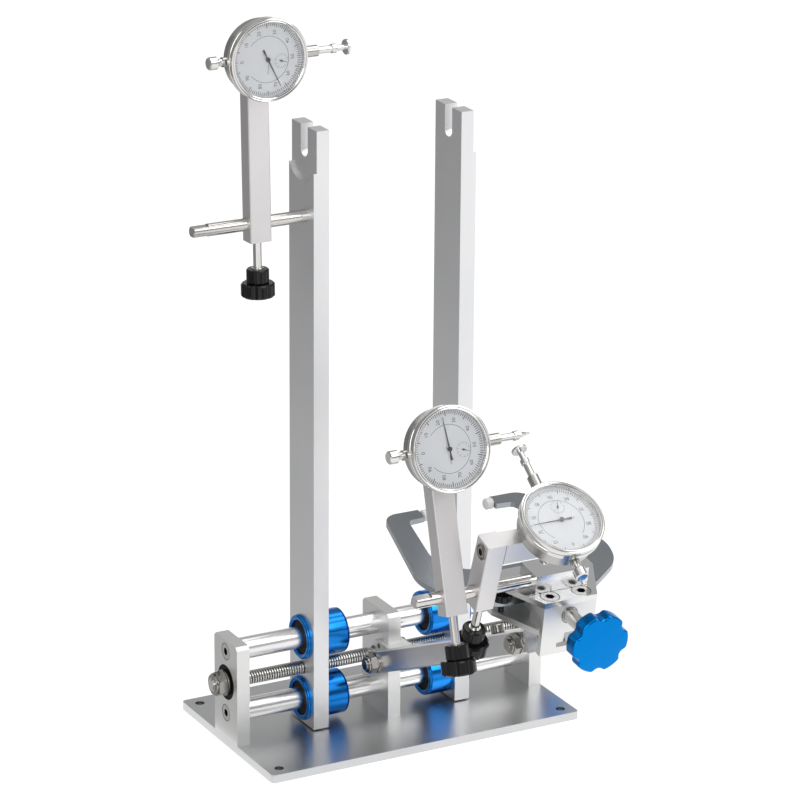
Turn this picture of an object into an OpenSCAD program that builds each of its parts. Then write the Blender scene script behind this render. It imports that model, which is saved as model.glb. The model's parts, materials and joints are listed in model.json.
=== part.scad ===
// Truing stand for bicycle wheels: a flat base with two sliding uprights moved together
// by one lead screw, a swinging arm that carries a follower head, and three dial gauges.
// Millimetres. X runs along the guide rods, Y runs back, Z runs up.
// The origin is the centre of the base plate's underside.

/* [Base plate] */
// Length of the base plate from left to right
base_length = 250; // [200:1:400]
// Depth of the base plate from front to back
base_depth = 150; // [120:1:300]
// Thickness of the base plate
base_thick = 6; // [4:0.5:12]
// Radius of the base plate's corners
base_corner_r = 3; // [1:0.5:8]
// Diameter of the four corner holes
base_hole_d = 7; // [4:0.5:9]
// Distance from the corner holes' centres to the edges
base_hole_inset = 10; // [7:0.5:20]

/* [Cross plates] */
// Thickness of the three plates that carry the guide rods
plate_thick = 10; // [8:0.5:16]
// Depth of the end plates from front to back
plate_depth = 37; // [34:1:60]
// Height of the end plates above the base plate
end_plate_rise = 76; // [76:0.5:100]
// Height of the middle plate above the base plate
mid_plate_rise = 80.5; // [80:0.5:110]
// How much further forward the middle plate reaches than the end plates
mid_plate_forward = 3.5; // [0:0.5:10]
// Bevel on the plates' top corners
plate_bevel = 2.5; // [1:0.5:5]
// Diameter of the screws that hold the plates from below
foot_screw_d = 5; // [4:0.5:6]
// Distance between the two screws under each plate
foot_screw_pitch = 20; // [16:1:24]

/* [Guide rods and lead screw] */
// Diameter of the two guide rods
guide_d = 16; // [12:0.5:17]
// Height of the lower guide rod's axis
guide_low_z = 25.5; // [24:0.5:26]
// Height of the lead screw's axis
lead_z = 49.3; // [48:0.1:50]
// Height of the upper guide rod's axis
guide_high_z = 73; // [72:0.5:76]
// Outside diameter of the lead screw
lead_d = 10; // [9:0.5:10]
// Diameter of the lead screw's plain stretch at the middle plate
journal_d = 8; // [6:0.5:8.5]
// Length of that plain stretch
journal_length = 22; // [16:1:40]
// Outside diameter of the bearings in the end plates
end_bearing_d = 26; // [20:0.5:28]
// Width of the bearings in the end plates
end_bearing_wide = 8; // [6:0.5:8]
// Diameter of the screws in the guide rods' ends
end_screw_d = 6.5; // [5:0.5:7]

/* [Uprights] */
// Thickness of the uprights along the guide rods
upright_thick = 12; // [10:0.5:14]
// Depth of the uprights from front to back
upright_depth = 38; // [36:1:60]
// Height of the uprights' top edge
upright_top = 454; // [400:1:600]
// Clear width between the uprights in the pose shown
between_uprights = 104; // [90:1:120]
// Height of the axle's centre in its slots
axle_z = 437; // [380:1:590]
// Width of the axle slots
axle_slot_w = 10.5; // [9:0.5:14]
// Radius of the shallow recess round the axle slot
axle_recess_r = 23; // [15:0.5:30]
// Depth of the shallow recess
axle_recess_deep = 2.3; // [1:0.1:4]
// Outside diameter of the blue bearing housings
housing_d = 33; // [31:0.5:33]
// How far a housing stands out of the upright's outer face
housing_out = 2; // [1:0.5:4]
// How far a housing stands out of the upright's inner face
housing_in = 18; // [12:0.5:20]
// Outside diameter of the linear bearings
bearing_d = 27; // [22:0.5:28]

/* [Swing arm] */
// Width of the swing arm
arm_width = 40; // [36:1:50]
// Height of the swing arm's section
arm_height = 16; // [14:0.5:20]
// Bevel along the swing arm's edges
arm_bevel = 1; // [0.5:0.1:2]
// Distance between the swing arm's two pivots
arm_length = 224; // [190:1:300]
// Rise of the swing arm above level in the pose shown
arm_rise = 24; // [10:1:30]
// Distance of the rear pivot in front of the guide rods
rear_pivot_forward = 32; // [31:0.5:40]
// Height of the rear pivot
rear_pivot_z = 56.3; // [50:0.1:58]
// Diameter of both pivot bolts
pivot_d = 8; // [6:0.5:8]
// Width of the tongues that the swing arm's forks hold
tongue_w = 19.4; // [16:0.2:20]
// Depth of the swing arm's forks past the pivots
fork_deep = 16; // [14:0.5:22]

/* [Follower head] */
// Tilt of the head, front down
head_tilt = 8.7; // [0:0.1:15]
// Width of the head's front
head_width = 40; // [38:0.5:50]
// Distance from the front pivot to the head's front face
head_front = 27.1; // [26:0.1:32]
// Height of the lower plate's underside over the pivot
lower_plate_z = 19.3; // [18:0.1:24]
// Thickness of the head's two plates
head_plate_thick = 4; // [3:0.1:6]
// Height of the space between the two plates
head_gap = 17.3; // [16:0.1:22]
// Length of the front block between the plates
front_block_long = 18; // [14:0.5:20]
// Thickness of the skirt below the front block
skirt_thick = 5; // [4:0.5:7]
// Height of the skirt's lower edge over the pivot
skirt_low_z = 4.2; // [3:0.1:8]
// Half width of the plates at their wings
wing_half = 38; // [32:0.5:44]
// How far the plates reach behind the pivot
head_back = 24; // [20:0.5:34]

/* [Feed screw and carriage] */
// Diameter of the feed screw
feed_d = 10; // [8:0.5:10]
// Diameter of the blue feed knob
feed_knob_d = 42; // [34:1:44]
// Thickness of the blue feed knob
feed_knob_thick = 12; // [8:0.5:16]
// Gap between the head's front face and the feed knob
feed_knob_gap = 31; // [20:1:40]
// Width of the carriage block
carriage_w = 28; // [24:0.5:32]
// Length of the carriage block
carriage_long = 25; // [22:0.5:28]
// Width of the carriage's neck in the top plate's slot
neck_w = 16; // [14:0.5:20]
// Length of the rod block
rod_block_long = 22; // [22:0.5:26]
// Height of the rod block
rod_block_high = 12.8; // [12.5:0.1:18]
// Travel of the carriage towards the front
carriage_forward = 6; // [2:0.5:6]
// Travel of the carriage towards the back
carriage_backward = 12; // [6:0.5:12]
// Thickness of the follower fork's plate
fork_thick = 4; // [3:0.1:5]

/* [Gauge arms and rods] */
// Diameter of the two rods that carry the gauge arms
rod_d = 9; // [7:0.5:9.5]
// Height of the upper rod's axis on the left upright
upper_rod_z = 390.6; // [300:0.1:400]
// Distance of the upper rod in front of the upright's middle
upper_rod_forward = 5.8; // [0:0.1:10]
// Free length of the upper rod
upper_rod_free = 87.3; // [75:0.1:150]
// Free length of the head's rod beside its block
head_rod_free = 88; // [86:0.5:150]
// Length of the flats at the rods' free ends
rod_flat_long = 12; // [6:0.5:14]
// Width of the two upright gauge arms
gauge_arm_w = 16; // [14:0.5:20]
// Depth of the two upright gauge arms
gauge_arm_deep = 13; // [12.5:0.5:18]
// Length of the arm's end below its rod
gauge_arm_below = 12.5; // [9:0.5:16]
// Height of the upper gauge's axis over its rod
gauge_1_rise = 119.5; // [60:0.5:180]
// Height of the middle gauge's axis over its rod
gauge_2_rise = 99; // [60:1:180]
// Height of the cranked arm over its rod
cranked_arm_rise = 41; // [32:0.5:80]
// Depth of the cranked arm
cranked_arm_deep = 16; // [15:0.5:20]
// Width of the cranked arm
cranked_arm_w = 14; // [12:0.5:18]
// Diameter of the clamping studs
stud_d = 6; // [4:0.5:6]
// Diameter of the star knobs
star_knob_d = 24; // [16:0.5:24]

/* [Dial gauges] */
// Diameter of the bezel
bezel_d = 58; // [50:0.5:60]
// Depth of the bezel
bezel_deep = 8; // [7.5:0.5:9]
// Diameter of the dial seen through the bezel
dial_d = 50; // [44:0.5:52]
// Depth of the whole gauge
gauge_deep = 19; // [19:0.5:26]
// Diameter of the gauge's case
case_d = 53; // [47:0.5:53]
// Diameter of the stem
stem_d = 8; // [7:0.5:9.5]
// Length of the stem outside the case
stem_long = 15; // [10:0.5:15]
// Diameter of the plunger
plunger_d = 5; // [3.5:0.5:5]
// Distance of the plunger's tip from the dial's centre
tip_reach = 65; // [60:0.5:75]
// Distance of the plunger's cap from the dial's centre
cap_reach = 41; // [40:0.5:55]
// Travel of the plunger
plunger_travel = 10; // [3:0.5:10]

/* [Hidden] */
$fn = 64;

// Radial room of a shaft that turns or slides in its bore.
slip = 0.05;
// Radial room of a piece that is pressed, screwed or bolted in place.
seat = 0.02;
// Room round a piece that passes freely.
free = 0.5;
// Overrun of a cut past the face that it opens.
cut = 1;

module ring(outer_d, inner_d, height) {
    difference() {
        cylinder(d = outer_d, h = height);
        translate([0, 0, -cut]) cylinder(d = inner_d, h = height + 2 * cut);
    }
}

module along_x(from_x) { translate([from_x, 0, 0]) rotate([0, 90, 0]) children(); }

// A cylinder from z = 0 to its height, with a bevel at both rims.
module bevelled_cylinder(d, height, bevel) {
    rotate_extrude()
        polygon([[0, 0], [d / 2 - bevel, 0], [d / 2, bevel], [d / 2, height - bevel],
                 [d / 2 - bevel, height], [0, height]]);
}

// A button head on z = 0 and its shank below, with a hexagon socket.
button_head_share = 1.7;
button_high_share = 0.5;
button_socket_share = 0.66;
button_floor_share = 0.4;
button_round_shares = [[1, 0], [0.97, 0.26], [0.92, 0.5], [0.83, 0.71], [0.72, 0.87], [0.58, 0.97],
                       [0.45, 1]];
module button_screw(d, long) {
    head_r = d * button_head_share / 2;
    head_h = d * button_high_share;
    difference() {
        union() {
            rotate_extrude()
                polygon(concat([[0, 0]],
                               [for (p = button_round_shares) [head_r * p[0], head_h * p[1]]],
                               [[0, head_h]]));
            translate([0, 0, -long]) cylinder(d = d - 2 * seat, h = long + head_h / 2);
        }
        translate([0, 0, head_h * button_floor_share])
            cylinder(d = d * button_socket_share, h = head_h, $fn = 6);
    }
}

// A cylindrical head on z = 0 and its shank below, with a hexagon socket.
cap_head_share = 1.6;
cap_socket_share = 0.85;
edge_share = 0.1;
module cap_screw(d, long) {
    difference() {
        union() {
            bevelled_cylinder(d * cap_head_share, d, d * edge_share);
            translate([0, 0, -long]) cylinder(d = d - 2 * seat, h = long + d / 2);
        }
        translate([0, 0, d / 2]) cylinder(d = d * cap_socket_share, h = d, $fn = 6);
    }
}

// A countersunk head, flush with z = 0, and its shank below.
countersunk_share = 1.9;
countersunk_rim_share = 0.08;
countersunk_socket_share = 0.7;
module countersunk_screw(d, long) {
    rim = d * countersunk_rim_share;
    cone_h = d * (countersunk_share - 1) / 2;
    difference() {
        union() {
            translate([0, 0, -rim]) cylinder(d = d * countersunk_share, h = rim);
            translate([0, 0, -rim - cone_h])
                cylinder(d1 = d - 2 * seat, d2 = d * countersunk_share, h = cone_h);
            translate([0, 0, -long]) cylinder(d = d - 2 * seat, h = long - rim);
        }
        translate([0, 0, -d / 2]) cylinder(d = d * countersunk_socket_share, h = d, $fn = 6);
    }
}

// The hole that a countersunk screw seats in, from z = 0 down.
module countersunk_hole(d, long) {
    rim = d * countersunk_rim_share;
    cone_h = d * (countersunk_share - 1) / 2;
    translate([0, 0, -rim]) cylinder(d = d * countersunk_share + 2 * seat, h = rim + cut);
    translate([0, 0, -rim - cone_h])
        cylinder(d1 = d, d2 = d * countersunk_share + 2 * seat, h = cone_h);
    translate([0, 0, -long]) cylinder(d = d, h = long);
}

// A lock nut with a washer on z = 0, round a bolt of diameter d.
nut_wide_share = 1.65;
nut_high_share = 0.85;
washer_wide_share = 1.9;
washer_thick_share = 0.2;
nut_hexagon_share = 0.8;
nut_collar_share = 0.9;
nut_corner_share = 1.14;
// A hexagon whose corners are bevelled round.
module bevelled_hexagon(across, high) {
    intersection() {
        cylinder(d = across / cos(30), h = high, $fn = 6);
        bevelled_cylinder(across * nut_corner_share, high, across * edge_share / 2);
    }
}

module lock_nut(d) {
    hole_d = d + 2 * seat;
    washer_h = d * washer_thick_share;
    nut_h = d * nut_high_share;
    ring(d * washer_wide_share, hole_d, washer_h);
    translate([0, 0, washer_h])
        difference() {
            union() {
                bevelled_hexagon(d * nut_wide_share, nut_h * nut_hexagon_share);
                cylinder(d = d * nut_wide_share * nut_collar_share, h = nut_h);
            }
            translate([0, 0, -cut]) cylinder(d = hole_d, h = nut_h + 2 * cut);
        }
}
lock_nut_share = washer_thick_share + nut_high_share;

// A round knob from z = 0 up, with round notches between its lobes. The notches' radius and
// depth are shares of the diameter.
module lobed_knob(d, high, lobes, notch_share, deep_share, bevel) {
    difference() {
        bevelled_cylinder(d, high, bevel);
        for (i = [0:lobes - 1])
            rotate([0, 0, (i + 0.5) * 360 / lobes])
                translate([d / 2 + d * (notch_share - deep_share), 0, -cut])
                    cylinder(r = d * notch_share, h = high + 2 * cut, $fn = 32);
    }
}

base_top = base_thick;
end_plate_x = base_length / 2 - plate_thick;
foot_screw_grip = 14;
foot_screw_long = base_thick + foot_screw_grip;
corner_x = base_length / 2 - base_hole_inset;
corner_y = base_depth / 2 - base_hole_inset;
mid_plate_front = plate_depth / 2 + mid_plate_forward;
// Places of the foot screws, as [x, y].
mid_foot_y = -mid_plate_forward / 2;
foot_places = [for (p = [[-1, 0], [0, mid_foot_y], [1, 0]], s = [-0.5, 0.5])
               [p[0] * (end_plate_x + plate_thick / 2), p[1] + s * foot_screw_pitch]];

module base_plate() {
    color("silver")
        difference() {
            union() {
                translate([-base_length / 2 + base_corner_r, -base_depth / 2, 0])
                    cube([base_length - 2 * base_corner_r, base_depth, base_thick]);
                translate([-base_length / 2, -base_depth / 2 + base_corner_r, 0])
                    cube([base_length, base_depth - 2 * base_corner_r, base_thick]);
                for (x = [-1, 1], y = [-1, 1])
                    translate([x * (base_length / 2 - base_corner_r),
                               y * (base_depth / 2 - base_corner_r), 0])
                        cylinder(r = base_corner_r, h = base_thick);
            }
            for (x = [-1, 1], y = [-1, 1])
                translate([x * corner_x, y * corner_y, -cut])
                    cylinder(d = base_hole_d, h = base_thick + 2 * cut);
            for (p = foot_places)
                translate([p[0], p[1], 0]) mirror([0, 0, 1])
                    countersunk_hole(foot_screw_d, base_thick + cut);
        }
}

module plate_foot_screws() {
    color("dimgray")
        for (p = foot_places)
            translate([p[0], p[1], 0]) mirror([0, 0, 1])
                countersunk_screw(foot_screw_d, foot_screw_long);
}

// A plate across the base: front and back are distances from Y = 0, rise is over the base.
module cross_plate(front, back, rise) {
    translate([-plate_thick / 2, 0, base_top])
        rotate([90, 0, 90])
            linear_extrude(plate_thick)
                polygon([[-front, 0], [back, 0], [back, rise - plate_bevel],
                         [back - plate_bevel, rise], [-front + plate_bevel, rise],
                         [-front, rise - plate_bevel]]);
}

module foot_holes(y_middle) {
    for (s = [-0.5, 0.5])
        translate([0, y_middle + s * foot_screw_pitch, base_top - cut])
            cylinder(d = foot_screw_d, h = foot_screw_grip + 2 * cut);
}

// An end plate centred on X = 0, with its outer face towards -X.
module end_plate() {
    difference() {
        cross_plate(plate_depth / 2, plate_depth / 2, end_plate_rise);
        foot_holes(0);
        for (z = [guide_low_z, guide_high_z])
            translate([-plate_thick / 2, 0, z]) rotate([0, -90, 0])
                countersunk_hole(end_screw_d, plate_thick + cut);
        translate([0, 0, lead_z]) along_x(-plate_thick / 2 - cut)
            cylinder(d = end_bearing_d + 2 * seat, h = plate_thick + 2 * cut);
    }
}

module left_end_plate() {
    color("lightgray") translate([-end_plate_x - plate_thick / 2, 0, 0]) end_plate();
}

module right_end_plate() {
    color("lightgray") translate([end_plate_x + plate_thick / 2, 0, 0]) mirror([1, 0, 0]) end_plate();
}

// The bearings that the lead screw turns in, one in each end plate.
module lead_screw_bearings() {
    color("#303030")
        for (s = [-1, 1])
            translate([s * (end_plate_x + plate_thick / 2), 0, lead_z])
                along_x(-end_bearing_wide / 2) ring(end_bearing_d, lead_d + 2 * slip, end_bearing_wide);
}

module middle_plate() {
    color("lightgray")
        difference() {
            cross_plate(mid_plate_front, plate_depth / 2, mid_plate_rise);
            foot_holes(mid_foot_y);
            for (z = [guide_low_z, guide_high_z])
                translate([0, 0, z]) along_x(-plate_thick / 2 - cut)
                    cylinder(d = guide_d + 2 * seat, h = plate_thick + 2 * cut);
            translate([0, 0, lead_z]) along_x(-plate_thick / 2 - cut)
                cylinder(d = lead_d + 2 * free, h = plate_thick + 2 * cut);
            for (z = hinge_screw_zs)
                translate([0, -hinge_screw_back, z]) along_x(-plate_thick / 2 - cut)
                    cylinder(d = hinge_screw_d, h = plate_thick + 2 * cut);
        }
}

end_thread_deep = 16;
end_screw_room = 2;
module guide_rods() {
    color("gainsboro")
        for (z = [guide_low_z, guide_high_z])
            translate([0, 0, z])
                difference() {
                    along_x(-end_plate_x) cylinder(d = guide_d, h = 2 * end_plate_x);
                    for (s = [-1, 1])
                        scale([s, 1, 1]) along_x(end_plate_x - end_thread_deep)
                            cylinder(d = end_screw_d, h = end_thread_deep + cut);
                }
}

module guide_rod_screws() {
    color("darkgray")
        for (z = [guide_low_z, guide_high_z], s = [-1, 1])
            translate([s * base_length / 2, 0, z]) rotate([0, s * 90, 0])
                countersunk_screw(end_screw_d, plate_thick + end_thread_deep - end_screw_room);
}

hinge_screw_d = 4;
hinge_cheek_long = 12;
hinge_screw_back = mid_plate_front - hinge_cheek_long / 2;
hinge_screw_pitch = 10;
hinge_screw_zs = [rear_pivot_z - hinge_screw_pitch / 2, rear_pivot_z + hinge_screw_pitch / 2];
hinge_nose_r = 8;
// The tongue for the swing arm's rear pivot, slotted over the middle plate's front edge.
module hinge_block() {
    color("lightgray")
        difference() {
            union() {
                translate([-tongue_w / 2, -rear_pivot_forward, rear_pivot_z])
                    rotate([0, 90, 0]) cylinder(r = hinge_nose_r, h = tongue_w);
                translate([-tongue_w / 2, -rear_pivot_forward, rear_pivot_z - hinge_nose_r])
                    cube([tongue_w, rear_pivot_forward - mid_plate_front + hinge_cheek_long,
                          2 * hinge_nose_r]);
            }
            translate([-plate_thick / 2 - seat, -mid_plate_front - seat,
                       rear_pivot_z - hinge_nose_r - cut])
                cube([plate_thick + 2 * seat, hinge_cheek_long + cut, 2 * hinge_nose_r + 2 * cut]);
            translate([0, -rear_pivot_forward, rear_pivot_z]) along_x(-tongue_w / 2 - cut)
                cylinder(d = pivot_d + 2 * slip, h = tongue_w + 2 * cut);
            for (z = hinge_screw_zs)
                translate([0, -hinge_screw_back, z]) along_x(-tongue_w / 2 - cut)
                    cylinder(d = hinge_screw_d, h = tongue_w + 2 * cut);
        }
}

module hinge_block_screws() {
    color("dimgray")
        for (z = hinge_screw_zs)
            translate([tongue_w / 2, -hinge_screw_back, z]) rotate([0, 90, 0])
                button_screw(hinge_screw_d, tongue_w);
}

upright_lift = 1;
upright_low = base_top + upright_lift;
upright_x = between_uprights / 2 + upright_thick / 2;
// An upright centred on X = 0, with its outer face towards -X.
module upright(top) {
    outer = -upright_thick / 2;
    difference() {
        translate([outer, -upright_depth / 2, upright_low])
            cube([upright_thick, upright_depth, top - upright_low]);
        for (z = [guide_low_z, guide_high_z])
            translate([0, 0, z]) along_x(outer - cut)
                cylinder(d = housing_d + 2 * seat, h = upright_thick + 2 * cut);
        translate([0, 0, lead_z]) along_x(outer - cut)
            cylinder(d = lead_d + 2 * slip, h = upright_thick + 2 * cut);
        translate([0, 0, axle_z]) along_x(outer - cut)
            cylinder(d = axle_slot_w, h = upright_thick + 2 * cut);
        translate([outer - cut, -axle_slot_w / 2, axle_z])
            cube([upright_thick + 2 * cut, axle_slot_w, top - axle_z + cut]);
        translate([0, 0, axle_z]) along_x(outer - cut)
            cylinder(r = axle_recess_r, h = axle_recess_deep + cut);
        translate([outer - cut, -upright_depth / 2 - cut, axle_z])
            cube([axle_recess_deep + cut, upright_depth + 2 * cut, top - axle_z + cut]);
    }
}

upper_rod_wall = 2;
upper_rod_into = upright_thick - upper_rod_wall;
// The left upright reaches over the upper rod's bore.
left_upright_top = max(upright_top, upper_rod_z + rod_d / 2 + upper_rod_wall);
module left_upright() {
    color("gainsboro") translate([-upright_x, 0, 0])
        difference() {
            upright(left_upright_top);
            translate([0, -upper_rod_forward, upper_rod_z]) along_x(-upright_thick / 2 - cut)
                cylinder(d = rod_d + 2 * seat, h = upper_rod_into + cut);
        }
}

module right_upright() {
    color("gainsboro") translate([upright_x, 0, 0]) mirror([1, 0, 0]) upright(upright_top);
}

housing_long = housing_out + upright_thick + housing_in;
bearing_inset = 2;
lip_bevel = 1;
// A housing for the outer side towards -X, centred like its upright.
module housing() {
    along_x(-upright_thick / 2 - housing_out)
        difference() {
            bevelled_cylinder(housing_d, housing_long, lip_bevel);
            translate([0, 0, -cut]) cylinder(d = bearing_d + 2 * seat, h = housing_long + 2 * cut);
            for (z = [-cut, housing_long - bearing_inset])
                translate([0, 0, z])
                    cylinder(d = bearing_d + bearing_inset, h = bearing_inset + cut);
        }
}

module linear_bearing() {
    along_x(-upright_thick / 2 - housing_out + bearing_inset / 2)
        ring(bearing_d, guide_d + 2 * slip, housing_long - bearing_inset);
}

module at_guides() {
    for (z = [guide_low_z, guide_high_z])
        translate([0, 0, z]) children();
}

module left_bearing_housings() {
    color("royalblue") translate([-upright_x, 0, 0]) at_guides() housing();
}

module right_bearing_housings() {
    color("royalblue") translate([upright_x, 0, 0]) mirror([1, 0, 0]) at_guides() housing();
}

module left_linear_bearings() {
    color("#202020") translate([-upright_x, 0, 0]) at_guides() linear_bearing();
}

module right_linear_bearings() {
    color("#202020") translate([upright_x, 0, 0]) mirror([1, 0, 0]) at_guides() linear_bearing();
}

// A rod from z = 0, whose first stretch has two flats for a spanner.
rod_rim_share = 0.08;
rod_flat_share = 0.72;
module rod_with_flats(long) {
    difference() {
        bevelled_cylinder(rod_d, long, rod_d * rod_rim_share);
        for (s = [-1, 1])
            translate([s * rod_d * (1 + rod_flat_share) / 2, 0, rod_flat_long / 2 - cut])
                cube([rod_d, rod_d + cut, rod_flat_long + 2 * cut], center = true);
    }
}

module upper_gauge_rod() {
    color("lightgray")
        translate([-upright_x - upright_thick / 2 - upper_rod_free, -upper_rod_forward, upper_rod_z])
            rotate([0, 90, 0]) rod_with_flats(upper_rod_free + upper_rod_into);
}

lead_nut_room = lead_d * lock_nut_share;
screw_end = 1.5;
lead_end_left = base_length / 2 + lead_nut_room + screw_end;
hand_knob_gap = 4;
hand_knob_hub_d = 22;
hand_knob_hub = 10;
knob_hole_share = 0.7;
lead_end_right = base_length / 2 + hand_knob_gap + hand_knob_hub + feed_knob_thick * knob_hole_share;
module lead_screw() {
    color("silver")
        translate([0, 0, lead_z]) {
            along_x(-journal_length / 2 - cut) cylinder(d = journal_d, h = journal_length + 2 * cut);
            along_x(-lead_end_left)
                bevelled_cylinder(lead_d, lead_end_left - journal_length / 2, lead_d * edge_share);
            along_x(journal_length / 2)
                bevelled_cylinder(lead_d, lead_end_right - journal_length / 2, lead_d * edge_share);
        }
}

module lead_screw_nut() {
    color("gray")
        translate([-base_length / 2 - slip, 0, lead_z]) rotate([0, -90, 0]) lock_nut(lead_d);
}

// The blue hand knob: a lobed head with a hub behind it and a blind hole for its shaft.
// z = 0 is the hub's end, and the head points up.
hand_knob_lobes = 6;
hand_knob_notch_share = 0.13;
hand_knob_deep_share = 0.065;
hand_knob_bevel_share = 0.12;
module hand_knob(d, thick, hub_d, hub, hole_d, hole_deep) {
    difference() {
        union() {
            cylinder(d = hub_d, h = hub + cut);
            translate([0, 0, hub])
                lobed_knob(d, thick, hand_knob_lobes, hand_knob_notch_share, hand_knob_deep_share,
                           thick * hand_knob_bevel_share);
        }
        translate([0, 0, -cut]) cylinder(d = hole_d + 2 * seat, h = hole_deep + cut);
    }
}

module lead_screw_knob() {
    color("dodgerblue")
        translate([base_length / 2 + hand_knob_gap, 0, lead_z]) rotate([0, 90, 0])
            hand_knob(feed_knob_d, feed_knob_thick, hand_knob_hub_d, hand_knob_hub, lead_d,
                      hand_knob_hub + feed_knob_thick * knob_hole_share);
}

// The swing arm's own frame: origin at its rear pivot, the arm runs towards -Y.
module on_swing_arm() {
    translate([0, -rear_pivot_forward, rear_pivot_z]) rotate([-arm_rise, 0, 0]) children();
}

head_y = -rear_pivot_forward - arm_length * cos(arm_rise);
head_z = rear_pivot_z + arm_length * sin(arm_rise);
// The head's own frame: origin at the front pivot, the front towards -Y.
module on_head() { translate([0, head_y, head_z]) rotate([head_tilt, 0, 0]) children(); }

arm_nose = arm_height / 2;
arm_slot_w = tongue_w + 2 * free;
arm_screw_d = 6;
arm_screw_left = 10;
arm_screw_back = 47;
arm_screw_place = [-arm_screw_left, -arm_length + arm_screw_back];
module swing_arm() {
    half_w = arm_width / 2;
    half_h = arm_height / 2;
    color("silver") on_swing_arm()
        difference() {
            union() {
                rotate([90, 0, 0])
                    linear_extrude(arm_length + arm_nose)
                        polygon([[-half_w + arm_bevel, -half_h], [half_w - arm_bevel, -half_h],
                                 [half_w, -half_h + arm_bevel], [half_w, half_h - arm_bevel],
                                 [half_w - arm_bevel, half_h], [-half_w + arm_bevel, half_h],
                                 [-half_w, half_h - arm_bevel], [-half_w, -half_h + arm_bevel]]);
                along_x(-half_w) cylinder(r = half_h, h = arm_width);
            }
            translate([-arm_slot_w / 2, -fork_deep, -half_h - cut])
                cube([arm_slot_w, fork_deep + half_h + cut, arm_height + 2 * cut]);
            translate([-arm_slot_w / 2, -arm_length - arm_nose - cut, -half_h - cut])
                cube([arm_slot_w, arm_nose + fork_deep + cut, arm_height + 2 * cut]);
            for (y = [0, -arm_length])
                translate([0, y, 0]) along_x(-half_w - cut)
                    cylinder(d = pivot_d + 2 * slip, h = arm_width + 2 * cut);
            translate([arm_screw_place[0], arm_screw_place[1], -cut])
                cylinder(d = arm_screw_d, h = half_h + 2 * cut);
        }
}

module swing_arm_screw() {
    color("gray") on_swing_arm()
        translate([arm_screw_place[0], arm_screw_place[1], arm_height / 2])
            cap_screw(arm_screw_d, arm_height / 2);
}

// A pivot bolt through the swing arm's fork, its head on the right and its nut on the left.
bolt_head_share = 0.65;
module pivot_bolt() {
    head_h = pivot_d * bolt_head_share;
    nut_room = pivot_d * lock_nut_share;
    along_x(-arm_width / 2 - nut_room - screw_end)
        cylinder(d = pivot_d, h = arm_width + nut_room + screw_end + head_h / 2);
    translate([arm_width / 2, 0, 0]) rotate([0, 90, 0])
        bevelled_hexagon(pivot_d * nut_wide_share, head_h);
    translate([-arm_width / 2, 0, 0]) rotate([0, -90, 0]) lock_nut(pivot_d - 2 * seat);
}

module rear_pivot_bolt() { color("darkgray") on_swing_arm() pivot_bolt(); }

module front_pivot_bolt() {
    color("darkgray") on_swing_arm() translate([0, -arm_length, 0]) pivot_bolt();
}

top_plate_z = lower_plate_z + head_plate_thick + head_gap;
head_top = top_plate_z + head_plate_thick;
feed_height_share = 0.53;
feed_z = lower_plate_z + head_plate_thick + head_gap * feed_height_share;
feed_recess_wide = 1.2;
feed_recess_d = feed_d + 2 * feed_recess_wide;
collar_thick = 2;
front_screw_x = 12;
front_screw_d = 7;
front_screw_long = 13;
front_screw_back = 8;
front_screw_y = -head_front + front_screw_back;
block_screw_d = 5;
block_screw_back = 12;
block_screw_y = -head_front + block_screw_back;
block_screw_grip = 5;
tongue_screw_d = 5;
tongue_screw_x = tongue_w / 4;
tongue_screw_long = 15;
tongue_screw_low = 7;
tongue_y = 2;
tongue_long = 20;
window_w = 16;
window_low_z = 9;

// The outline of the head's two plates: a narrow front, wings and bevelled back corners.
wing_y = 10;
wing_bevel = [2, 4];
back_bevel = 6;
module head_plate_outline() {
    w = head_width / 2;
    for (s = [0, 1])
        mirror([s, 0])
            polygon([[0, -head_front], [w, -head_front],
                     [wing_half - wing_bevel[0], wing_y - wing_bevel[1]], [wing_half, wing_y],
                     [wing_half, head_back - back_bevel], [wing_half - back_bevel, head_back],
                     [0, head_back]]);
}

neck_room_w = neck_w + 2 * free;
module head_top_plate() {
    color("whitesmoke") on_head()
        difference() {
            translate([0, 0, top_plate_z]) linear_extrude(head_plate_thick) head_plate_outline();
            translate([-neck_room_w / 2, -carriage_forward - free, top_plate_z - cut])
                cube([neck_room_w, head_back + carriage_forward + free + cut,
                      head_plate_thick + 2 * cut]);
            for (s = [-1, 1])
                translate([s * front_screw_x, front_screw_y, head_top])
                    countersunk_hole(front_screw_d, head_plate_thick + cut);
        }
}

module head_lower_plate() {
    color("gainsboro") on_head()
        difference() {
            translate([0, 0, lower_plate_z])
                linear_extrude(head_plate_thick)
                    difference() {
                        head_plate_outline();
                        translate([-head_width / 2 - cut, -head_front - cut])
                            square([head_width + 2 * cut, skirt_thick + seat + cut]);
                    }
            for (s = [-1, 1])
                translate([s * front_screw_x, block_screw_y, lower_plate_z])
                    mirror([0, 0, 1]) countersunk_hole(block_screw_d, head_plate_thick + cut);
            for (s = [-1, 1])
                translate([s * tongue_screw_x, tongue_y, lower_plate_z + head_plate_thick])
                    countersunk_hole(tongue_screw_d, head_plate_thick + cut);
        }
}

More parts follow.
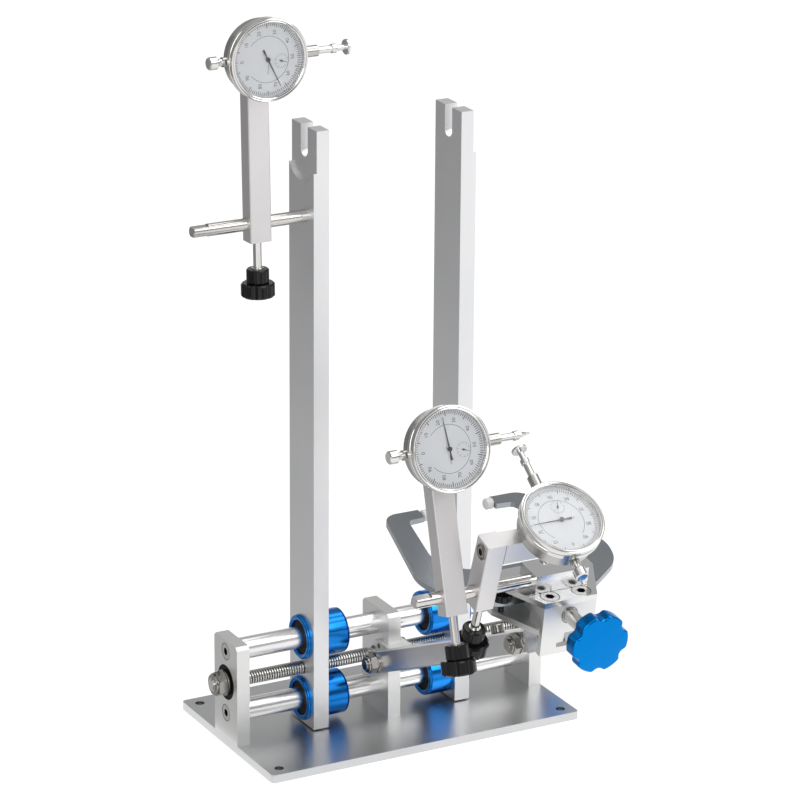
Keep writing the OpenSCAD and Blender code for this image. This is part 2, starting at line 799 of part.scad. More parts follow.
module head_front_block() {
    half_w = head_width / 2;
    block_z = lower_plate_z + head_plate_thick;
    color("gainsboro") on_head()
        difference() {
            union() {
                translate([-half_w, -head_front, block_z])
                    cube([head_width, front_block_long, head_gap]);
                translate([-half_w, -head_front, skirt_low_z])
                    cube([head_width, skirt_thick, block_z - skirt_low_z + cut]);
            }
            translate([-window_w / 2, -head_front - cut, window_low_z])
                cube([window_w, skirt_thick + 2 * cut, lower_plate_z - window_low_z]);
            translate([0, -head_front - cut, feed_z]) rotate([-90, 0, 0])
                cylinder(d = feed_d + 2 * slip, h = front_block_long + 2 * cut);
            translate([0, -head_front - cut, feed_z]) rotate([-90, 0, 0])
                cylinder(d = feed_recess_d, h = collar_thick + 2 * cut);
            for (s = [-1, 1]) {
                translate([s * front_screw_x, front_screw_y, head_top - front_screw_long - seat])
                    cylinder(d = front_screw_d, h = front_screw_long);
                translate([s * front_screw_x, block_screw_y, block_z - cut])
                    cylinder(d = block_screw_d, h = block_screw_grip + cut + seat);
            }
        }
}

module head_tongue() {
    color("lightgray") on_head()
        difference() {
            union() {
                along_x(-tongue_w / 2) cylinder(r = arm_height / 2, h = tongue_w);
                translate([-tongue_w / 2, tongue_y - tongue_long / 2, 0])
                    cube([tongue_w, tongue_long, lower_plate_z]);
            }
            along_x(-tongue_w / 2 - cut) cylinder(d = pivot_d + 2 * slip, h = tongue_w + 2 * cut);
            for (s = [-1, 1])
                translate([s * tongue_screw_x, tongue_y, tongue_screw_low])
                    cylinder(d = tongue_screw_d, h = lower_plate_z);
        }
}

module head_screws() {
    color("silver") on_head()
        for (s = [-1, 1]) {
            translate([s * front_screw_x, front_screw_y, head_top])
                countersunk_screw(front_screw_d, front_screw_long);
            translate([s * front_screw_x, block_screw_y, lower_plate_z]) mirror([0, 0, 1])
                countersunk_screw(block_screw_d, head_plate_thick + block_screw_grip);
            translate([s * tongue_screw_x, tongue_y, lower_plate_z + head_plate_thick])
                countersunk_screw(tongue_screw_d, tongue_screw_long);
        }
}

feed_tip_y = 26;
feed_knob_hub_d = 16;
feed_knob_hub = 8;
feed_shaft_into = feed_knob_hub + feed_knob_thick * knob_hole_share;
feed_front_y = -head_front - feed_knob_gap - feed_shaft_into + feed_knob_hub;
module feed_screw() {
    color("silver") on_head()
        translate([0, 0, feed_z]) {
            translate([0, feed_front_y, 0]) rotate([-90, 0, 0])
                cylinder(d = feed_d, h = feed_tip_y - feed_front_y);
            translate([0, -head_front - slip, 0]) rotate([-90, 0, 0])
                cylinder(d = feed_recess_d - 2 * free, h = collar_thick);
            translate([0, -head_front + front_block_long + slip, 0]) rotate([-90, 0, 0])
                cylinder(d = feed_recess_d - 2 * free, h = collar_thick);
        }
}

module feed_knob() {
    color("dodgerblue") on_head()
        translate([0, -head_front - feed_knob_gap + feed_knob_hub, feed_z]) rotate([90, 0, 0])
            hand_knob(feed_knob_d, feed_knob_thick, feed_knob_hub_d, feed_knob_hub,
                      feed_d, feed_shaft_into);
}

// Room between the carriage and the two plates that it slides between.
glide = 0.1;
carriage_low = lower_plate_z + head_plate_thick + glide;
carriage_high = top_plate_z - glide;
neck_long = 8.6;
rod_block_z = head_top + glide * 2;
rod_block_front = neck_long - rod_block_long;
carriage_ledge_long = 15;
ledge_w = 7;
ledge_high = 5.6;
fork_low = carriage_low + ledge_high;
carriage_screw_d = 4;
carriage_screw_y = neck_long / 2;
ledge_screw_x = carriage_w / 2 - ledge_w / 2;
ledge_screw_back = 8;
ledge_screw_y = carriage_long + ledge_screw_back;
ledge_screw_grip = 5;
neck_screw_gap = 1.5;
neck_screw_low = feed_z + feed_d / 2 + neck_screw_gap;
module carriage_block() {
    color("gainsboro") on_head()
        difference() {
            union() {
                translate([-carriage_w / 2, 0, carriage_low])
                    cube([carriage_w, carriage_long, carriage_high - carriage_low]);
                translate([-neck_w / 2, 0, carriage_low])
                    cube([neck_w, neck_long, rod_block_z - carriage_low]);
                for (s = [-1, 1])
                    translate([s * ledge_screw_x - ledge_w / 2, carriage_long - cut, carriage_low])
                        cube([ledge_w, carriage_ledge_long + cut, fork_low - carriage_low]);
            }
            translate([0, -cut, feed_z]) rotate([-90, 0, 0])
                cylinder(d = feed_d + 2 * slip, h = carriage_long + 2 * cut);
            for (s = [-1, 1]) {
                translate([s * block_screw_x, carriage_screw_y, neck_screw_low])
                    cylinder(d = carriage_screw_d, h = head_gap);
                translate([s * ledge_screw_x, ledge_screw_y, carriage_low - cut])
                    cylinder(d = carriage_screw_d, h = head_gap);
            }
        }
}

block_screw_x = neck_w / 4;
head_rod_y = -5.7;
head_rod_lift = 0.2;
head_rod_z = rod_block_z + rod_block_high / 2 + head_rod_lift;
head_rod_into = 25;
counterbore_deep = 4;
counterbore_share = 1.7;
carriage_screw_long = 13;
module rod_block() {
    color("gainsboro") on_head()
        difference() {
            translate([-head_width / 2, rod_block_front, rod_block_z])
                cube([head_width, rod_block_long, rod_block_high]);
            translate([0, head_rod_y, head_rod_z]) along_x(-head_width / 2 - cut)
                cylinder(d = rod_d + 2 * seat, h = head_rod_into + cut);
            for (s = [-1, 1])
                translate([s * block_screw_x, carriage_screw_y, rod_block_z - cut]) {
                    cylinder(d = carriage_screw_d, h = rod_block_high + 2 * cut);
                    translate([0, 0, rod_block_high - counterbore_deep + cut])
                        cylinder(d = carriage_screw_d * counterbore_share, h = counterbore_deep + cut);
                }
        }
}

module head_gauge_rod() {
    color("lightgray") on_head()
        translate([-head_width / 2 - head_rod_free, head_rod_y, head_rod_z])
            rotate([0, 90, 0]) rod_with_flats(head_rod_free + head_rod_into);
}

// The corner points of an arc of radius r that rounds the corner b between a and c.
function unit(v) = v / norm(v);
function arc_from(m, r, p, turn, k) =
    let (q = p - m, a = turn * k) m + [q[0] * cos(a) - q[1] * sin(a), q[0] * sin(a) + q[1] * cos(a)];
function rounded(a, b, c, r) =
    let (u = unit(a - b), v = unit(c - b), half = acos(u * v) / 2, t = r / tan(half),
         m = b + unit(u + v) * r / sin(half), side = sign(v[0] * u[1] - v[1] * u[0]))
    [for (k = [0:1 / arc_steps:1]) arc_from(m, r, b + u * t, side * (180 - 2 * half), k)];
arc_steps = 8;

// Half of the follower fork's outline, from the middle of its front edge round to the tip
// and back along the inner edge, as [x, y, radius of the corner].
fork_half = [[0, 35, 0], [6, 35, 0], [6, 29, 0], [14.5, 29, 0], [14.5, 3, 2], [37, 3, 20],
             [67.5, 26, 36], [74.5, 50, 36], [55, 136, 12], [28, 136, 1], [28, 125, 1],
             [42, 124, 5], [51, 74.5, 20], [47, 60, 18], [36, 50, 16], [20, 46, 16], [0, 46, 0]];
fork_end = 9;
function fork_point(i) = [fork_half[i][0], fork_half[i][1]];
fork_outline = [for (i = [0:len(fork_half) - 1])
                each (fork_half[i][2] == 0 ? [fork_point(i)]
                      : rounded(fork_point(i - 1), fork_point(i), fork_point(i + 1), fork_half[i][2]))];
fork_tip_d = 8;
fork_tip_long = 6;
thumb_screw_place = [-33.5, 6];
module follower_fork() {
    color("dimgray") on_head()
        difference() {
            translate([0, 0, fork_low])
                linear_extrude(fork_thick)
                    for (s = [0, 1])
                        mirror([s, 0]) polygon(fork_outline);
            for (s = [-1, 1])
                translate([s * ledge_screw_x, ledge_screw_y, fork_low - cut])
                    cylinder(d = carriage_screw_d, h = fork_thick + 2 * cut);
            translate([thumb_screw_place[0], thumb_screw_place[1], fork_low - cut])
                cylinder(d = carriage_screw_d, h = fork_thick + 2 * cut);
        }
}

// The soft tips that the fork carries on both sides of the rim.
module fork_tips() {
    tip_x = fork_half[fork_end][0];
    tip_y = (fork_half[fork_end][1] + fork_half[fork_end + 1][1]) / 2;
    color("white") on_head()
        for (s = [-1, 1])
            translate([s * tip_x, tip_y, fork_low + fork_thick / 2]) rotate([0, -s * 90, 0])
                bevelled_cylinder(fork_tip_d, fork_tip_long, fork_tip_d * edge_share);
}

module carriage_screws() {
    color("silver") on_head()
        for (s = [-1, 1]) {
            translate([s * block_screw_x, carriage_screw_y,
                       rod_block_z + rod_block_high - counterbore_deep + cut])
                cap_screw(carriage_screw_d, carriage_screw_long);
            translate([s * ledge_screw_x, ledge_screw_y, fork_low + fork_thick])
                button_screw(carriage_screw_d, fork_thick + ledge_screw_grip);
        }
}

thumb_head_d = 14;
thumb_head_thick = 5;
thumb_cap_d = 9;
thumb_cap_high = 1;
module fork_thumb_screw() {
    shank = fork_thick + ledge_screw_grip;
    color("#282828") on_head()
        translate([thumb_screw_place[0], thumb_screw_place[1], fork_low + fork_thick]) {
            lobed_knob(thumb_head_d, thumb_head_thick, star_lobes, star_notch_share,
                       star_deep_share, thumb_head_thick * edge_share);
            translate([0, 0, -shank]) cylinder(d = carriage_screw_d - 2 * seat, h = shank + cut);
            cylinder(d = thumb_cap_d, h = thumb_head_thick + thumb_cap_high);
        }
}

// Frames of the three gauge arms: origin on the rod's axis, Z up along the arm.
upper_arm_x = -101.5;
upper_arm_lean = 2;
middle_arm_x = -80.6;
middle_arm_lean = 15;
cranked_arm_x = -56.3;
cranked_arm_lean = -18.5;
head_rod_world_y = head_y + head_rod_y * cos(head_tilt) - head_rod_z * sin(head_tilt);
head_rod_world_z = head_z + head_rod_y * sin(head_tilt) + head_rod_z * cos(head_tilt);

module on_upper_arm() {
    translate([upper_arm_x, -upper_rod_forward, upper_rod_z]) rotate([-upper_arm_lean, 0, 0]) children();
}

module on_middle_arm() {
    translate([middle_arm_x, head_rod_world_y, head_rod_world_z])
        rotate([-middle_arm_lean, 0, 0]) children();
}

module on_cranked_arm() {
    translate([cranked_arm_x, head_rod_world_y, head_rod_world_z])
        rotate([-cranked_arm_lean, 0, 0]) children();
}

// An arm on its rod: front is the distance from the rod's axis to its front face.
stud_into = 3;
arm_edge = 0.6;
module gauge_arm(w, deep, front, below, above) {
    difference() {
        translate([0, -front, -below])
            linear_extrude(below + above)
                polygon([[-w / 2 + arm_edge, 0], [w / 2 - arm_edge, 0], [w / 2, arm_edge],
                         [w / 2, deep - arm_edge], [w / 2 - arm_edge, deep],
                         [-w / 2 + arm_edge, deep], [-w / 2, deep - arm_edge], [-w / 2, arm_edge]]);
        along_x(-w / 2 - cut) cylinder(d = rod_d + 2 * slip, h = w + 2 * cut);
        translate([0, 0, -below - cut]) cylinder(d = stud_d, h = below + cut);
    }
}

lug_thick = 6.5;
lug_hole_back = 8;
lug_screw_d = 5;
lug_screw_into = 11;
arm_front = 7;
lug_gap = 0.3;
// The lug's hole in an upright arm's frame, measured back from the arm's front face.
lug_on_arm = lug_hole_back - lug_gap;
module gauge_post(rise) {
    difference() {
        gauge_arm(gauge_arm_w, gauge_arm_deep, arm_front, gauge_arm_below, rise - lug_thick / 2);
        translate([0, lug_on_arm - arm_front, rise - lug_thick / 2 - lug_screw_into])
            cylinder(d = lug_screw_d, h = lug_screw_into + cut);
    }
}

// The upper gauge's plunger passes over the left upright.
plunger_over_upright = 5;
upper_arm_rise = max(gauge_1_rise,
                     left_upright_top + plunger_over_upright + plunger_d - upper_rod_z);
module upper_gauge_arm() { color("whitesmoke") on_upper_arm() gauge_post(upper_arm_rise); }

module middle_gauge_arm() { color("whitesmoke") on_middle_arm() gauge_post(gauge_2_rise); }

cranked_front = 7;
crossbar_high = 16;
crossbar_deep = 14.5;
crossbar_long = 32.3;
crossbar_screw_d = 6;
crossbar_screw_y = crossbar_deep / 2 - cranked_front;
crossbar_screw_z = cranked_arm_rise - crossbar_high / 2;
crossbar_screw_into = 12;
module cranked_gauge_arm() {
    color("whitesmoke") on_cranked_arm()
        difference() {
            gauge_arm(cranked_arm_w, cranked_arm_deep, cranked_front, gauge_arm_below,
                      cranked_arm_rise);
            translate([0, crossbar_screw_y, crossbar_screw_z]) along_x(-cranked_arm_w / 2 - cut) {
                cylinder(d = crossbar_screw_d, h = cranked_arm_w + 2 * cut);
            }
        }
}

lug_on_crossbar = [-3.8, 35.4];
module cranked_arm_crossbar() {
    right = cranked_arm_w / 2 + crossbar_long;
    color("whitesmoke") on_cranked_arm()
        difference() {
            translate([cranked_arm_w / 2, -cranked_front, cranked_arm_rise - crossbar_high])
                cube([crossbar_long, crossbar_deep, crossbar_high]);
            translate([0, crossbar_screw_y, crossbar_screw_z]) along_x(cranked_arm_w / 2 - cut)
                cylinder(d = crossbar_screw_d, h = crossbar_screw_into + cut);
            translate([0, lug_on_crossbar[0], lug_on_crossbar[1]]) along_x(right - lug_screw_into)
                cylinder(d = lug_screw_d, h = lug_screw_into + cut);
        }
}

// A star knob hanging from z = 0, with its stud standing up into an arm.
knob_stud_free = 20;
knob_collar_d = 16;
knob_collar = 10;
knob_head = 10;
star_lobes = 7;
star_notch_share = 0.12;
star_deep_share = 0.07;
module star_knob(below) {
    translate([0, 0, -below - knob_stud_free])
        cylinder(d = stud_d - 2 * slip, h = knob_stud_free + below - rod_d / 2 - slip);
    translate([0, 0, -below - knob_stud_free - knob_collar])
        lobed_knob(knob_collar_d, knob_collar, star_lobes, star_notch_share / 2,
                   star_deep_share / 2, knob_collar_d * edge_share / 2);
    translate([0, 0, -below - knob_stud_free - knob_collar - knob_head])
        lobed_knob(star_knob_d, knob_head, star_lobes, star_notch_share, star_deep_share,
                   star_knob_d * edge_share / 2);
}

module upper_arm_knob() { color("#202020") on_upper_arm() star_knob(gauge_arm_below); }

module middle_arm_knob() { color("#202020") on_middle_arm() star_knob(gauge_arm_below); }

module cranked_arm_knob() { color("#202020") on_cranked_arm() star_knob(gauge_arm_below); }

// Frames of the three gauges: origin at the middle of the bezel's front, the dial towards -Y
// and the stem towards +X.
module on_upper_gauge() {
    on_upper_arm() translate([0, -arm_front - gauge_deep - lug_gap, upper_arm_rise]) children();
}

module on_middle_gauge() {
    on_middle_arm() translate([0, -arm_front - gauge_deep - lug_gap, gauge_2_rise]) children();
}

cranked_gauge_turn = -73;
module on_cranked_gauge() {
    on_cranked_arm()
        translate([cranked_arm_w / 2 + crossbar_long + lug_thick / 2,
                   lug_on_crossbar[0], lug_on_crossbar[1]])
            rotate([cranked_gauge_turn, 0, 0]) rotate([0, -90, 0])
                translate([0, -gauge_deep - lug_hole_back, 0]) children();
}

bezel_gap = 0.1;
stem_y = bezel_deep + stem_d / 2 + bezel_gap;
face_y = 6;
face_thick = 0.6;
spindle_d = 1.2;
spindle_deep = 3;
case_front = bezel_deep;
case_edge = 1.2;
rear_stub_long = 4;
rear_stub_d = stem_d - 1;
lug_half = 7;
module gauge_case() {
    difference() {
        union() {
            translate([0, case_front, 0]) rotate([-90, 0, 0])
                rotate_extrude()
                    polygon([[0, 0], [case_d / 2, 0],
                             [case_d / 2, gauge_deep - case_front - case_edge],
                             [case_d / 2 - case_edge, gauge_deep - case_front],
                             [0, gauge_deep - case_front]]);
            translate([0, face_y + face_thick + slip, 0]) rotate([-90, 0, 0])
                cylinder(d = dial_d, h = case_front - face_y);
            translate([0, stem_y, 0]) along_x(0)
                cylinder(d = stem_d, h = case_d / 2 + stem_long);
            translate([0, stem_y, 0]) along_x(-case_d / 2 - rear_stub_long)
                cylinder(d = rear_stub_d, h = case_d / 2);
            translate([-lug_half, gauge_deep - cut, -lug_thick / 2])
                cube([2 * lug_half, lug_hole_back + cut, lug_thick]);
            translate([0, gauge_deep + lug_hole_back, -lug_thick / 2])
                cylinder(r = lug_half, h = lug_thick);
        }
        translate([0, stem_y, 0]) along_x(-case_d)
            cylinder(d = plunger_d + 2 * slip, h = 2 * case_d);
        translate([0, gauge_deep + lug_hole_back, -lug_thick / 2 - cut])
            cylinder(d = lug_screw_d, h = lug_thick + 2 * cut);
        translate([0, face_y - cut, 0]) rotate([-90, 0, 0])
            cylinder(d = spindle_d + 2 * slip, h = spindle_deep + cut);
    }
}

module upper_gauge_case() { color("silver") on_upper_gauge() gauge_case(); }

module middle_gauge_case() { color("silver") on_middle_gauge() gauge_case(); }

module cranked_gauge_case() { color("silver") on_cranked_gauge() gauge_case(); }

// The bezel turns on the case with the dial in it, so the zero can be set.
bezel_edge = 1.6;
crystal_y = 1.2;
crystal_thick = 1.2;
crystal_lip = 0.6;
bezel_back_edge = 1;
spindle_room = 2;
module gauge_bezel() {
    outer = bezel_d / 2;
    inner = dial_d / 2;
    difference() {
        rotate([-90, 0, 0])
            rotate_extrude()
                polygon([[inner, crystal_y - seat], [inner - crystal_lip, crystal_y - seat],
                         [inner - crystal_lip, crystal_lip], [inner, 0],
                         [outer - bezel_edge, 0], [outer, bezel_edge],
                         [outer, bezel_deep - bezel_back_edge - slip],
                         [outer - bezel_back_edge, bezel_deep - slip],
                         [inner + slip, bezel_deep - slip], [inner + slip, face_y + face_thick],
                         [0, face_y + face_thick], [0, face_y], [inner, face_y]]);
        translate([0, face_y - cut, 0]) rotate([-90, 0, 0])
            cylinder(d = spindle_d + 2 * spindle_room, h = face_thick + 2 * cut);
    }
}

// The clear window pressed into the bezel.
module gauge_crystal() {
    translate([0, crystal_y, 0]) rotate([-90, 0, 0])
        cylinder(d = dial_d - 2 * seat, h = crystal_thick);
}

module upper_gauge_crystal() { color("white", 0.3) on_upper_gauge() gauge_crystal(); }

module middle_gauge_crystal() { color("white", 0.3) on_middle_gauge() gauge_crystal(); }

module cranked_gauge_crystal() { color("white", 0.3) on_cranked_gauge() gauge_crystal(); }

module upper_gauge_bezel() { color("gainsboro") on_upper_gauge() gauge_bezel(); }

module middle_gauge_bezel() { color("gainsboro") on_middle_gauge() gauge_bezel(); }

module cranked_gauge_bezel() { color("gainsboro") on_cranked_gauge() gauge_bezel(); }

// The plunger slides in the stem: a cap at one end and a changeable contact at the other.
plunger_cap_d = 9;
plunger_cap_long = 7;
plunger_cap_edge = 0.8;
contact_collar_d = 6.5;
contact_collar_long = 4;
contact_long = 9;
contact_d = 4;
disc_d = 11;
disc_thick = 2;
point_long = 7;
point_d = 0.8;
contact_x = tip_reach - contact_long;
module plunger_rod() {
    translate([0, stem_y, 0]) {
        along_x(-cap_reach + cut)
            cylinder(d = plunger_d, h = cap_reach + contact_x - 2 * cut);
        along_x(-cap_reach) bevelled_cylinder(plunger_cap_d, plunger_cap_long, plunger_cap_edge);
        along_x(contact_x - contact_collar_long)
            bevelled_cylinder(contact_collar_d, contact_collar_long, plunger_cap_edge / 2);
    }
}

module disc_contact() {
    translate([0, stem_y, 0]) {
        along_x(contact_x - cut) cylinder(d = contact_d, h = contact_long);
        along_x(tip_reach - disc_thick)
            bevelled_cylinder(disc_d, disc_thick, disc_thick * edge_share * 2);
    }
}

module cone_contact() {
    translate([0, stem_y, 0]) {
        along_x(contact_x - cut) cylinder(d = contact_d, h = contact_long - point_long + cut);
        along_x(tip_reach - point_long) cylinder(d1 = contact_d, d2 = point_d, h = point_long);
    }
}

module upper_gauge_plunger() {
    color("gainsboro") on_upper_gauge() { plunger_rod(); disc_contact(); }
}

module middle_gauge_plunger() {
    color("gainsboro") on_middle_gauge() { plunger_rod(); cone_contact(); }
}

module cranked_gauge_plunger() {
    color("gainsboro") on_cranked_gauge() { plunger_rod(); disc_contact(); }
}

// A needle on its spindle: turn is its place on the dial, clockwise from straight up.
needle_y = 4;
needle_thick = 0.4;
needle_reach = 21.5;
needle_point_w = 0.2;
needle_blade_w = 0.9;
needle_tail = 7.5;
needle_tail_w = 1.6;
needle_neck = 3;
needle_neck_w = 0.7;
needle_hub_d = 3;
needle_hub_thick = 1.2;
needle_sides = [[needle_point_w, needle_reach], [needle_blade_w, 0], [needle_neck_w, -needle_neck],
                [needle_tail_w, -needle_tail]];
module gauge_needle(turn) {
    rotate([0, turn, 0])
        union() {
            translate([0, needle_y, 0]) rotate([90, 0, 0])
                linear_extrude(needle_thick)
                    polygon(concat([for (p = needle_sides) [p[0] / 2, p[1]]],
                                   [for (i = [len(needle_sides) - 1:-1:0])
                                    [-needle_sides[i][0] / 2, needle_sides[i][1]]]));
            translate([0, needle_y - needle_hub_thick, 0]) rotate([-90, 0, 0])
                cylinder(d = needle_hub_d, h = needle_hub_thick);
            translate([0, needle_y - needle_thick, 0]) rotate([-90, 0, 0])
                cylinder(d = spindle_d, h = face_y - needle_y + needle_thick + spindle_deep - cut);
        }
}

upper_needle_turn = 154;
middle_needle_turn = 353;
cranked_needle_turn = 0;
module upper_gauge_needle() { color("black") on_upper_gauge() gauge_needle(upper_needle_turn); }

module middle_gauge_needle() { color("black") on_middle_gauge() gauge_needle(middle_needle_turn); }

module cranked_gauge_needle() { color("black") on_cranked_gauge() gauge_needle(cranked_needle_turn); }

base_plate();
left_end_plate();
middle_plate();
right_end_plate();
guide_rods();
guide_rod_screws();
plate_foot_screws();
hinge_block();
hinge_block_screws();
left_upright();
left_bearing_housings();
left_linear_bearings();
upper_gauge_rod();
right_upright();
right_bearing_housings();
right_linear_bearings();
lead_screw();
lead_screw_bearings();
lead_screw_nut();
lead_screw_knob();
swing_arm();
rear_pivot_bolt();
front_pivot_bolt();
swing_arm_screw();
head_front_block();
head_top_plate();
head_lower_plate();
head_tongue();
head_screws();
feed_screw();
feed_knob();
carriage_block();
rod_block();
head_gauge_rod();
follower_fork();
fork_tips();
carriage_screws();
fork_thumb_screw();
upper_gauge_arm();
middle_gauge_arm();
cranked_gauge_arm();
cranked_arm_crossbar();
upper_arm_knob();
middle_arm_knob();
cranked_arm_knob();
upper_gauge_case();
middle_gauge_case();
cranked_gauge_case();
upper_gauge_bezel();
middle_gauge_bezel();
cranked_gauge_bezel();
upper_gauge_crystal();
middle_gauge_crystal();
cranked_gauge_crystal();
upper_gauge_plunger();
middle_gauge_plunger();
cranked_gauge_plunger();
upper_gauge_needle();
middle_gauge_needle();
cranked_gauge_needle();
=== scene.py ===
# The look of the wheel truing stand: materials, fine forms on top of the solids, light, camera.
# Metres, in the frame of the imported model: X along the guide rods, Y back, Z up.
import json
import math

import bpy
from mathutils import Matrix, Vector


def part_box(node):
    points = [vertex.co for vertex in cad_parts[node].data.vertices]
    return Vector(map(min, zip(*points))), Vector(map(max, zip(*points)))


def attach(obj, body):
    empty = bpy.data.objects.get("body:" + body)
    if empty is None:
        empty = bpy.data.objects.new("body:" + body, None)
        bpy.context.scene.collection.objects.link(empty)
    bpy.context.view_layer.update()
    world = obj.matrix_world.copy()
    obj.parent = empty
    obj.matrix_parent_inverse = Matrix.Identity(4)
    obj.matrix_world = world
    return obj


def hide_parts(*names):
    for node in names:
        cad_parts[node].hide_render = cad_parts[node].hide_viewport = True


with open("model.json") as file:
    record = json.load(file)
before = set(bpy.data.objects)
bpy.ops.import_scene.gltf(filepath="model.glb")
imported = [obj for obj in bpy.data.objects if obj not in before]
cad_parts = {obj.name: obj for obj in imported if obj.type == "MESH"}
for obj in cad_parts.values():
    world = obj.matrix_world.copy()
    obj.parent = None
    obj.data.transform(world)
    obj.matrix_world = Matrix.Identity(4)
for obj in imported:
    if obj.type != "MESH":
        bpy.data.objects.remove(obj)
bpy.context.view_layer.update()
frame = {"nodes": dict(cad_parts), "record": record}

MM = 0.001
TURN = 2 * math.pi

NODES = frame["nodes"]
JOINTS = {j["name"]: j for j in frame["record"]["behaviour"]["joints"]}
GAUGES = ("upper", "middle", "cranked")


# Node helpers

NOISE_LOW = 0.3
NOISE_HIGH = 0.7


def new_material(name):
    """A material, its node tree and its Principled shader."""
    mat = bpy.data.materials.new(name)
    mat.use_nodes = True
    tree = mat.node_tree
    return mat, tree, tree.nodes["Principled BSDF"]


def add_node(tree, kind, **inputs):
    """A node with its inputs set. A space in an input's name is written as an underscore."""
    node = tree.nodes.new(kind)
    for key, value in inputs.items():
        node.inputs[key.replace("_", " ")].default_value = value
    return node


def grain_source(tree, stretch):
    """Object coordinates stretched along the directions that the grain runs in."""
    coords = tree.nodes.new("ShaderNodeTexCoord")
    mapping = tree.nodes.new("ShaderNodeMapping")
    mapping.inputs["Scale"].default_value = stretch
    tree.links.new(coords.outputs["Object"], mapping.inputs["Vector"])
    return mapping.outputs["Vector"]


def noise(tree, vector, scale, detail=4.0, roughness=0.55):
    """A noise value over the coordinates. A detail of 2 makes broad, soft patches."""
    node = add_node(tree, "ShaderNodeTexNoise", Scale=scale, Detail=detail, Roughness=roughness)
    tree.links.new(vector, node.inputs["Vector"])
    return node.outputs["Fac"]


def map_range(tree, value, start, end, low, high, interpolation="LINEAR"):
    """A value that runs from low to high as another runs from start to end."""
    node = add_node(tree, "ShaderNodeMapRange", From_Min=start, From_Max=end, To_Min=low,
                    To_Max=high)
    node.interpolation_type = interpolation
    tree.links.new(value, node.inputs["Value"])
    return node.outputs["Result"]


def spread(tree, value, low, high):
    """Maps a noise value, which mostly stays in the middle between 0 and 1, to a range."""
    return map_range(tree, value, NOISE_LOW, NOISE_HIGH, low, high)


def mixed(tree, factor, first, second, kind="FLOAT"):
    """Runs from the first to the second as the factor runs from 0 to 1. Each is a socket or a
    value."""
    node = tree.nodes.new("ShaderNodeMix")
    node.data_type = kind
    tree.links.new(factor, node.inputs["Factor"])
    for key, value in (("A", first), ("B", second)):
        if isinstance(value, bpy.types.NodeSocket):
            tree.links.new(value, node.inputs[key])
        else:
            node.inputs[key].default_value = value
    return node.outputs["Result"]


def tinted(tree, factor, dark, light):
    """A colour that runs between two as the factor runs from 0 to 1."""
    return mixed(tree, factor, (*dark, 1), (*light, 1), "RGBA")


def larger(tree, first, second):
    """The larger one of two sockets' values."""
    node = tree.nodes.new("ShaderNodeMath")
    node.operation = "MAXIMUM"
    tree.links.new(first, node.inputs[0])
    tree.links.new(second, node.inputs[1])
    return node.outputs[0]


def bump(tree, shader, height, strength, distance):
    """Lets a height value roughen the shader's surface."""
    node = add_node(tree, "ShaderNodeBump", Strength=strength, Distance=distance)
    tree.links.new(height, node.inputs["Height"])
    tree.links.new(node.outputs["Normal"], shader.inputs["Normal"])


# Materials. A grain's scale is a count per metre, and its stretch makes it run along one axis.

ALONG_X = (0.04, 1, 1)
ALONG_Y = (1, 0.04, 1)
ALONG_Z = (1, 1, 0.04)
EVEN = (1, 1, 1)
STEEL_GRAIN = 300
BRUSHED_GRAIN = 900
FINE_BRUSHED_GRAIN = 1200
BLASTED_GRAIN = 1400
PAPER_GRAIN = 900
MOULDED_GRAIN = 1200
RUBBER_GRAIN = 1400
ANODISED_DEPTH = 8e-7
SATIN_DEPTH = 4e-7
MOULDED_DEPTH = 5e-7
FAINT_DEPTH = 1e-6
TIP_DEPTH = 4e-6
METAL_PATCHES = 14.0
PLASTIC_PATCHES = 40.0
HAZE_PATCHES = 60.0
PATCH_DETAIL = 2.0
METAL_BUMP = 0.35
PLASTIC_BUMP = 0.3
GLASS_IOR = 1.45
GLASS_HAZE = 0.03


def grained(name, dark, light, rough, grain, stretch, patches):
    """A material whose broad patches vary its colour and whose fine grain varies its gloss."""
    mat, tree, shader = new_material(name)
    fine = noise(tree, grain_source(tree, stretch), grain)
    broad = noise(tree, grain_source(tree, EVEN), patches, PATCH_DETAIL)
    tree.links.new(tinted(tree, spread(tree, broad, 0.0, 1.0), dark, light),
                   shader.inputs["Base Color"])
    tree.links.new(spread(tree, fine, *rough), shader.inputs["Roughness"])
    return mat, tree, shader, fine


def metal(name, dark, light, rough, grain=STEEL_GRAIN, stretch=EVEN, bump_depth=0.0):
    """A metal. Its grain shapes the surface too where it has a bump depth."""
    mat, tree, shader, fine = grained(name, dark, light, rough, grain, stretch, METAL_PATCHES)
    shader.inputs["Metallic"].default_value = 1.0
    if bump_depth:
        bump(tree, shader, fine, METAL_BUMP, bump_depth)
    return mat


def plastic(name, dark, light, rough, grain, bump_depth, specular=0.5):
    """A plastic, paint or paper with a faint texture."""
    mat, tree, shader, fine = grained(name, dark, light, rough, grain, EVEN, PLASTIC_PATCHES)
    shader.inputs["Specular IOR Level"].default_value = specular
    bump(tree, shader, fine, PLASTIC_BUMP, bump_depth)
    return mat


def glass(name):
    """Clear glass with a trace of haze."""
    mat, tree, shader = new_material(name)
    shader.inputs["Base Color"].default_value = (1.0, 1.0, 1.0, 1)
    shader.inputs["IOR"].default_value = GLASS_IOR
    shader.inputs["Transmission Weight"].default_value = 1.0
    haze = noise(tree, grain_source(tree, EVEN), HAZE_PATCHES, PATCH_DETAIL)
    tree.links.new(spread(tree, haze, 0.0, GLASS_HAZE), shader.inputs["Roughness"])
    return mat


